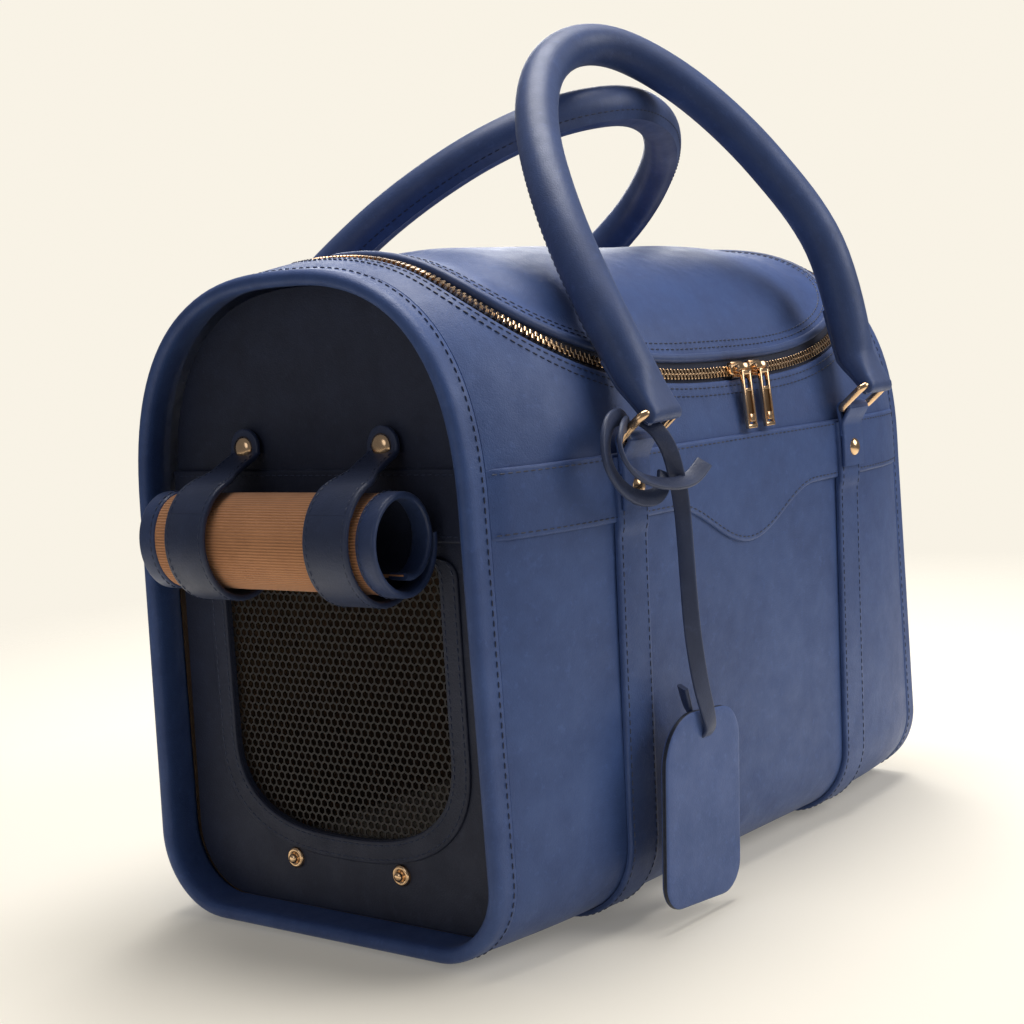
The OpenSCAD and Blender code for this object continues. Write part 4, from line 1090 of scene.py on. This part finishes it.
for end, s in (("near", -1), ("far", 1)):
    ys = spread(ROLL_Y - ROLL_HL + 2.5, ROLL_Y + ROLL_HL - 2.5, 40)
    outer, inner = ([spiral(s, y, grow) for y in ys] for grow in (0.7, -0.7))
    run = lengths(outer[0])
    flap = Build().solid(outer, inner, arc=[run] * len(ys))
    half = len(ys) * len(run)
    flap.slots = [1 if min(f) >= half else 0 for f in flap.faces]
    roll_ob = flap.make("rolled_cloth_" + end, [CANVAS, SHADED_END_LEATHER], "flap_roll_" + end)
    binding = Build()
    for side in (-1, 1):
        path = spiral(s, ROLL_Y + side * (ROLL_HL - 5.9))
        binding.ribbon(path, Vector((0, 1, 0)), [(a, b - 1.7) for a, b in round_rect(11.8, 3.4, 1.65, 5)])
        row = spiral(s, ROLL_Y + side * (ROLL_HL - 9.4), 1.75)[2:92]
        sew("roll_" + end, row, [(p - Vector((s * ROLL_X, p.y, ROLL_Z))).normalized() for p in row], 0.02, 4.2)
    bind_ob = binding.make("roll_binding_" + end, BIND, "flap_binding_" + end, sharp=70)

    for side, cy in (("front", -FLAP_Y), ("back", FLAP_Y)):
        node = "%s_%s" % (end, side)
        mid_r = WRAP_IN + WRAP_T / 2
        wy = cy - 8.5
        hub = Vector((s * ROLL_X, wy, ROLL_Z))
        path = [around(s, mid_r, math.radians(a), wy) for a in spread(150, 360, 44)]
        path.append(around(s, mid_r, TAU, wy, dz=-6))
        shape = [(a, b - WRAP_T / 2) for a, b in round_rect(FLAP_W, WRAP_T, 1.3, 4)]
        # Wrap and tip are made in the darker strap leather: painted shade of the end.
        Build().ribbon(path, Vector((0, 1, 0)), shape).make("wrap_strap_" + node, SHADED_STRAP_LEATHER, "flap_strap_" + node, sharp=70)
        for a in (-FLAP_W / 2 + 2.6, FLAP_W / 2 - 2.6):
            pts = [around(s, mid_r + WRAP_T / 2, b, wy + a) for b in spread(math.radians(151), math.radians(340), 40)]
            sew("wraps", pts, [(p - hub - Vector((0, a, 0))).normalized() for p in pts], 0.03, 4.2)

        # The loose end: from the top of the roll to a narrower round tip on the snap
        path = [around(s, mid_r, math.radians(a), wy) for a in spread(150, 108, 8)]
        lean = lambda f: wy + (cy - wy) * f
        path += [Vector((s * x, lean(f), z)) for x, f, z in (
            (ROLL_X - 1, 0.3, 238.4), (ROLL_X - 10, 0.6, 241.2), (ROLL_X - 18, 0.85, 244.2), (TIP_X + 2.8, 1, 247.8),
            (TIP_X + 1.4, 1, 252.5), (TIP_X + 1.3, 1, CAP_Z + TIP_HALF))]
        path = curve(path, 5)
        run = lengths(path)
        total = run[-1]
        stations = [r for r in run if r < total - 9] + [total - d for d in (8, 6, 4.4, 3, 1.8, 0.9, 0.35, 0.05)]
        half_w, centres, normals = [], [], []
        for r in stations:
            i = max(j for j in range(len(path) - 1) if run[j] <= r + 1e-6)
            t = (path[i + 1] - path[i]).normalized()
            centres.append(path[i].lerp(path[i + 1], (r - run[i]) / (run[i + 1] - run[i])))
            normals.append(Vector((0, -s, 0)).cross(t).normalized())
            f = min(max((r - 22) / 18, 0), 1)
            tip, left = FLAP_W / 2 + (TIP_HALF - FLAP_W / 2) * f * f * (3 - 2 * f), total - r
            half_w.append(tip if left > TIP_HALF else math.sqrt(max(TIP_HALF ** 2 - (TIP_HALF - left) ** 2, 0.01)))
        if (centres[2] - hub).dot(normals[2]) < 0:
            normals = [-v for v in normals]
        thick = [WRAP_T + (TIP_T - WRAP_T) * min(r / 20, 1) for r in stations]
        fr = [-1, -0.985, -0.95, -0.88, -0.75, -0.4, 0, 0.4, 0.75, 0.88, 0.95, 0.985, 1]
        rows = list(zip(centres, normals, half_w, thick))
        outer, inner = ([[c + Vector((0, w * f, 0)) + v * sign * (th / 2 - turned((1 - abs(f)) * w, edge))
                          for f in fr] for c, v, w, th in rows] for sign, edge in ((1, 1.1), (-1, 0.6)))
        stop = Vector((s * (ROLL_X - 8), cy, 240.6))
        start = stop + (around(s, mid_r, math.radians(126), cy) - stop).normalized() * 22
        bend = ("bag", "flap_tip_" + node, start, stop)
        Build().solid(outer, inner).make("strap_tip_" + node, SHADED_STRAP_LEATHER, "flap_tip_" + node, bend=bend, sharp=70)
        stitches = Stamp(*stitch_shape(STITCH_L, STITCH_R))
        for side_y in (-1, 1):
            pts = [c + Vector((0, side_y * (w - 2.6), 0)) + v * th / 2 for c, v, w, th in rows[:-6]]
            stitches.put(resample(pts, normals[:-6], 4.2), 0.03)
        stitches.build.make("tip_stitches_" + node, END_THREAD, bend=bend, slot="end_leather")
        cap = [(0, -1.6), (3.4, -1.6), (3.4, -0.4), (6.2, -0.4), (6.3, 0.3), (5.9, 1.0), (5.0, 1.9), (3.6, 2.5),
               (1.8, 2.85), (0, 2.95)]
        Build().lathe(cap, (s * (TIP_X + TIP_T), cy, CAP_Z), (s, 0, 0)).make(
            "snap_dome_" + node, GOLD, "snap_cap_" + node, sharp=50)

studs = Build()
for s in (-1, 1):
    for y, z, top in ((-37, 34.6, 1), (37, 34.6, 1), (-FLAP_Y, CAP_Z, 0), (FLAP_Y, CAP_Z, 0)):
        profile = [(0, -3.5), (5.4, -3.5), (5.6, 0.5), (5.2, 1.2), (4.3, 1.6), (3.3, 1.3), (2.8, 0.9), (2.3, 1.5)]
        profile += [(2.55, 2.9), (2.2, 3.5), (1.2, 3.9), (0, 4.0)] if top else [(2.0, 1.9), (0, 2.0)]
        studs.lathe(profile, (s * (PANEL_X + 0.1), y, z), (s, 0, 0), 32)
studs.make("snap_stud_set", GOLD, "snap_studs", sharp=50)

# ---- tag ------------------------------------------------------------------
low, high = (v / MM for v in map(Vector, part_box("tag_card")))
TAG_MID = (low + high) / 2
hx, hz = (high.x - low.x) / 2, (high.z - low.z) / 2


def card_loop(inset):
    """The card's outline with round corners, the upper ones rounder."""
    out = []
    for cx, cz, a0, r in ((1, 1, 0, 17), (-1, 1, 90, 27), (-1, -1, 180, 14), (1, -1, 270, 17)):
        for k in range(13):
            a = math.radians(a0 + 90 * k / 12)
            out.append((cx * (hx - r) + (r - inset) * math.cos(a), cz * (hz - r) + (r - inset) * math.sin(a)))
    return out


slot_at = Vector((-86, 0, 92))
slot_turn = Matrix.Translation(slot_at) @ Matrix.Rotation(math.radians(4.5), 4, "Y") @ Matrix.Translation(-slot_at)
rings = []
for inset, y in ((26, -2.0), (14, -2.05), (6, -2.0), (2.2, -2.0), (0.9, -1.8), (0.2, -1.3), (0, -0.7),
                 (0.25, -0.15), (0.25, 0.15), (0, 0.7), (0.2, 1.3), (0.9, 1.8), (2.2, 2.0), (6, 2.0),
                 (14, 2.0), (26, 2.0)):
    shrink = 1 - max(inset - 12.5, 0) / 40
    rings.append([slot_turn @ Vector((TAG_MID.x + x * shrink, TAG_MID.y + y, TAG_MID.z + z * shrink))
                  for x, z in card_loop(min(inset, 12.5))])
k = len(rings[0])
card = Build().add([p for r in rings for p in r], loop_faces(len(rings), k, ends=True))
card.slots = [1 if k * 5 <= min(f) < k * 10 - k and len(f) == 4 else 0 for f in card.faces]
card.make("tag_leather_card", [TAG, EDGE], "tag_card", sharp=60)

thong = Build()
THIN = [(a, b - 1.15) for a, b in round_rect(8.6, 2.3, 0.9, 3)]


def strip(points, across, per=6):
    """A thong through a few points; across holds its width direction at each."""
    thong.ribbon(curve(points, per), [v.normalized() for v in curve(across, per)], THIN)


strip([(-116, -143, 256), (-113, -149.5, 250), (-108, -152.5, 240), (-103.5, -153.2, 226), (-101, -153.6, 210),
       (-100, -153.8, 190), (-99.5, -154, 168), (-98, -154.2, 145), (-94, -154.4, 122), (-89, -154.4, 106),
       (-86, -153.6, 97), (-86, -150, 92.6), (-86, -146, 93.6), (-87.5, -144.6, 99), (-92, -144.6, 108), (-96, -144.8, 119)],
      [(0.9, -0.3, 0.3), (0.85, -0.45, 0.3), (0.7, -0.7, 0.2), (0.45, -0.9, 0.1), (0.25, -0.97, 0), (0.2, -0.98, 0),
       (0.3, -0.95, 0), (0.55, -0.83, 0), (0.8, -0.6, 0), (0.95, -0.3, 0), (1, 0, 0), (1, 0, 0), (1, 0, 0), (0.9, 0.4, 0),
       (0.6, 0.8, 0), (0.5, 0.87, 0)])


def loop_thong(points, hub, tilt):
    """A turn of thong that faces outwards from hub, its width leaning by tilt."""
    strip(points, [((Vector(p) - Vector(hub)).normalized() + Vector((0, tilt, 0))).normalized() for p in points])


loop_thong([(-122, -138, 249), (-130, -143, 254.5), (-140, -147, 252.5), (-147, -150.5, 245),
            (-145, -153, 236), (-136, -155, 229), (-122, -157, 225), (-108, -158, 224),
            (-97, -158.5, 226), (-87, -159, 232)], (-122, -148, 240), -0.6)
loop_thong([(-118, -137, 250), (-130, -140, 258), (-144, -143, 256.5), (-152, -145.5, 247),
            (-152, -147, 236), (-145, -148.5, 226), (-133, -149, 219.5), (-119, -149, 218),
            (-110, -148.5, 222), (-106, -147.5, 229)], (-130, -146, 238), -0.2)
thong.make("thong_knotted", THONG, "tag_strap", sharp=60)

# ---- stitches -------------------------------------------------------------
for group, stamp in threads.items():
    dark = group in ("end_bag", "wraps", "roll_near", "roll_far")
    stamp.build.make("stitches_" + group, END_THREAD if dark else THREAD, body="bag" if dark else group,
                     slot="end_leather" if dark else "leather")

# ---- floor, lights and sky ------------------------------------------------
CREAM, FLOOR_R, FLOOR_N = (0.80, 0.755, 0.66, 1), 2.4, 96
floor_mesh = bpy.data.meshes.new("floor")
floor_mesh.from_pydata([(x, y, 0) for x, y in circle(FLOOR_R, FLOOR_N)], [], [tuple(range(FLOOR_N))])
floor_ob = link(bpy.data.objects.new("floor", floor_mesh))
n = Nodes("floor_paper", "leather")
x, y, z = n.add("SeparateXYZ", Vector=n.coord).outputs
far = n.math("SQRT", n.math("ADD", n.math("MULTIPLY", x, x), n.math("MULTIPLY", y, y)))
floor_mesh.materials.append(n.finish(
    Roughness=0.95, Alpha=n.ramp(far, 0.55, 1.3, 1.0, 0.0), Base_Color=CREAM, Emission_Color=CREAM,
    Emission_Strength=0.2, Specular_IOR_Level=0.0))
floor_ob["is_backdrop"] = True


def lamp(name, at, aim, size, power, tint=(1, 1, 1)):
    data = bpy.data.lights.new(name, "AREA")
    data.shape, data.size, data.energy, data.color = "DISK", size, power, tint
    ob = link(bpy.data.objects.new(name, data))
    ob.location = at
    ob.rotation_euler = (Vector(at) - Vector(aim)).to_track_quat("Z", "Y").to_euler()


lamp("key", (0.9, -1.6, 1.2), (0, 0, 0.2), 1.5, 18.5, (1, 0.98, 0.96))
lamp("top", (0.25, 0.1, 1.7), (0, 0, 0.3), 1.2, 29, (1, 0.98, 0.96))
lamp("rear", (1.3, 1.0, 0.9), (0, 0, 0.3), 0.9, 12)
lamp("end_fill", (-1.7, -0.1, 0.7), (-0.2, 0, 0.2), 0.9, 2.0, (0.95, 0.96, 1))

world = bpy.data.worlds.new("sky")
bpy.context.scene.world = world
world.use_nodes = True
tree = world.node_tree
light = tree.nodes["Background"]
light.inputs["Color"].default_value = (0.9, 0.92, 1, 1)
light.inputs["Strength"].default_value = 0.16
seen = tree.nodes.new("ShaderNodeBackground")
seen.inputs["Color"].default_value = (0.945, 0.895, 0.79, 1)
pick, path = tree.nodes.new("ShaderNodeMixShader"), tree.nodes.new("ShaderNodeLightPath")
tree.links.new(path.outputs["Is Camera Ray"], pick.inputs[0])
tree.links.new(light.outputs[0], pick.inputs[1])
tree.links.new(seen.outputs[0], pick.inputs[2])
tree.links.new(pick.outputs[0], tree.nodes["World Output"].inputs["Surface"])
bpy.context.scene.view_settings.view_transform = "Standard"

low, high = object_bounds()
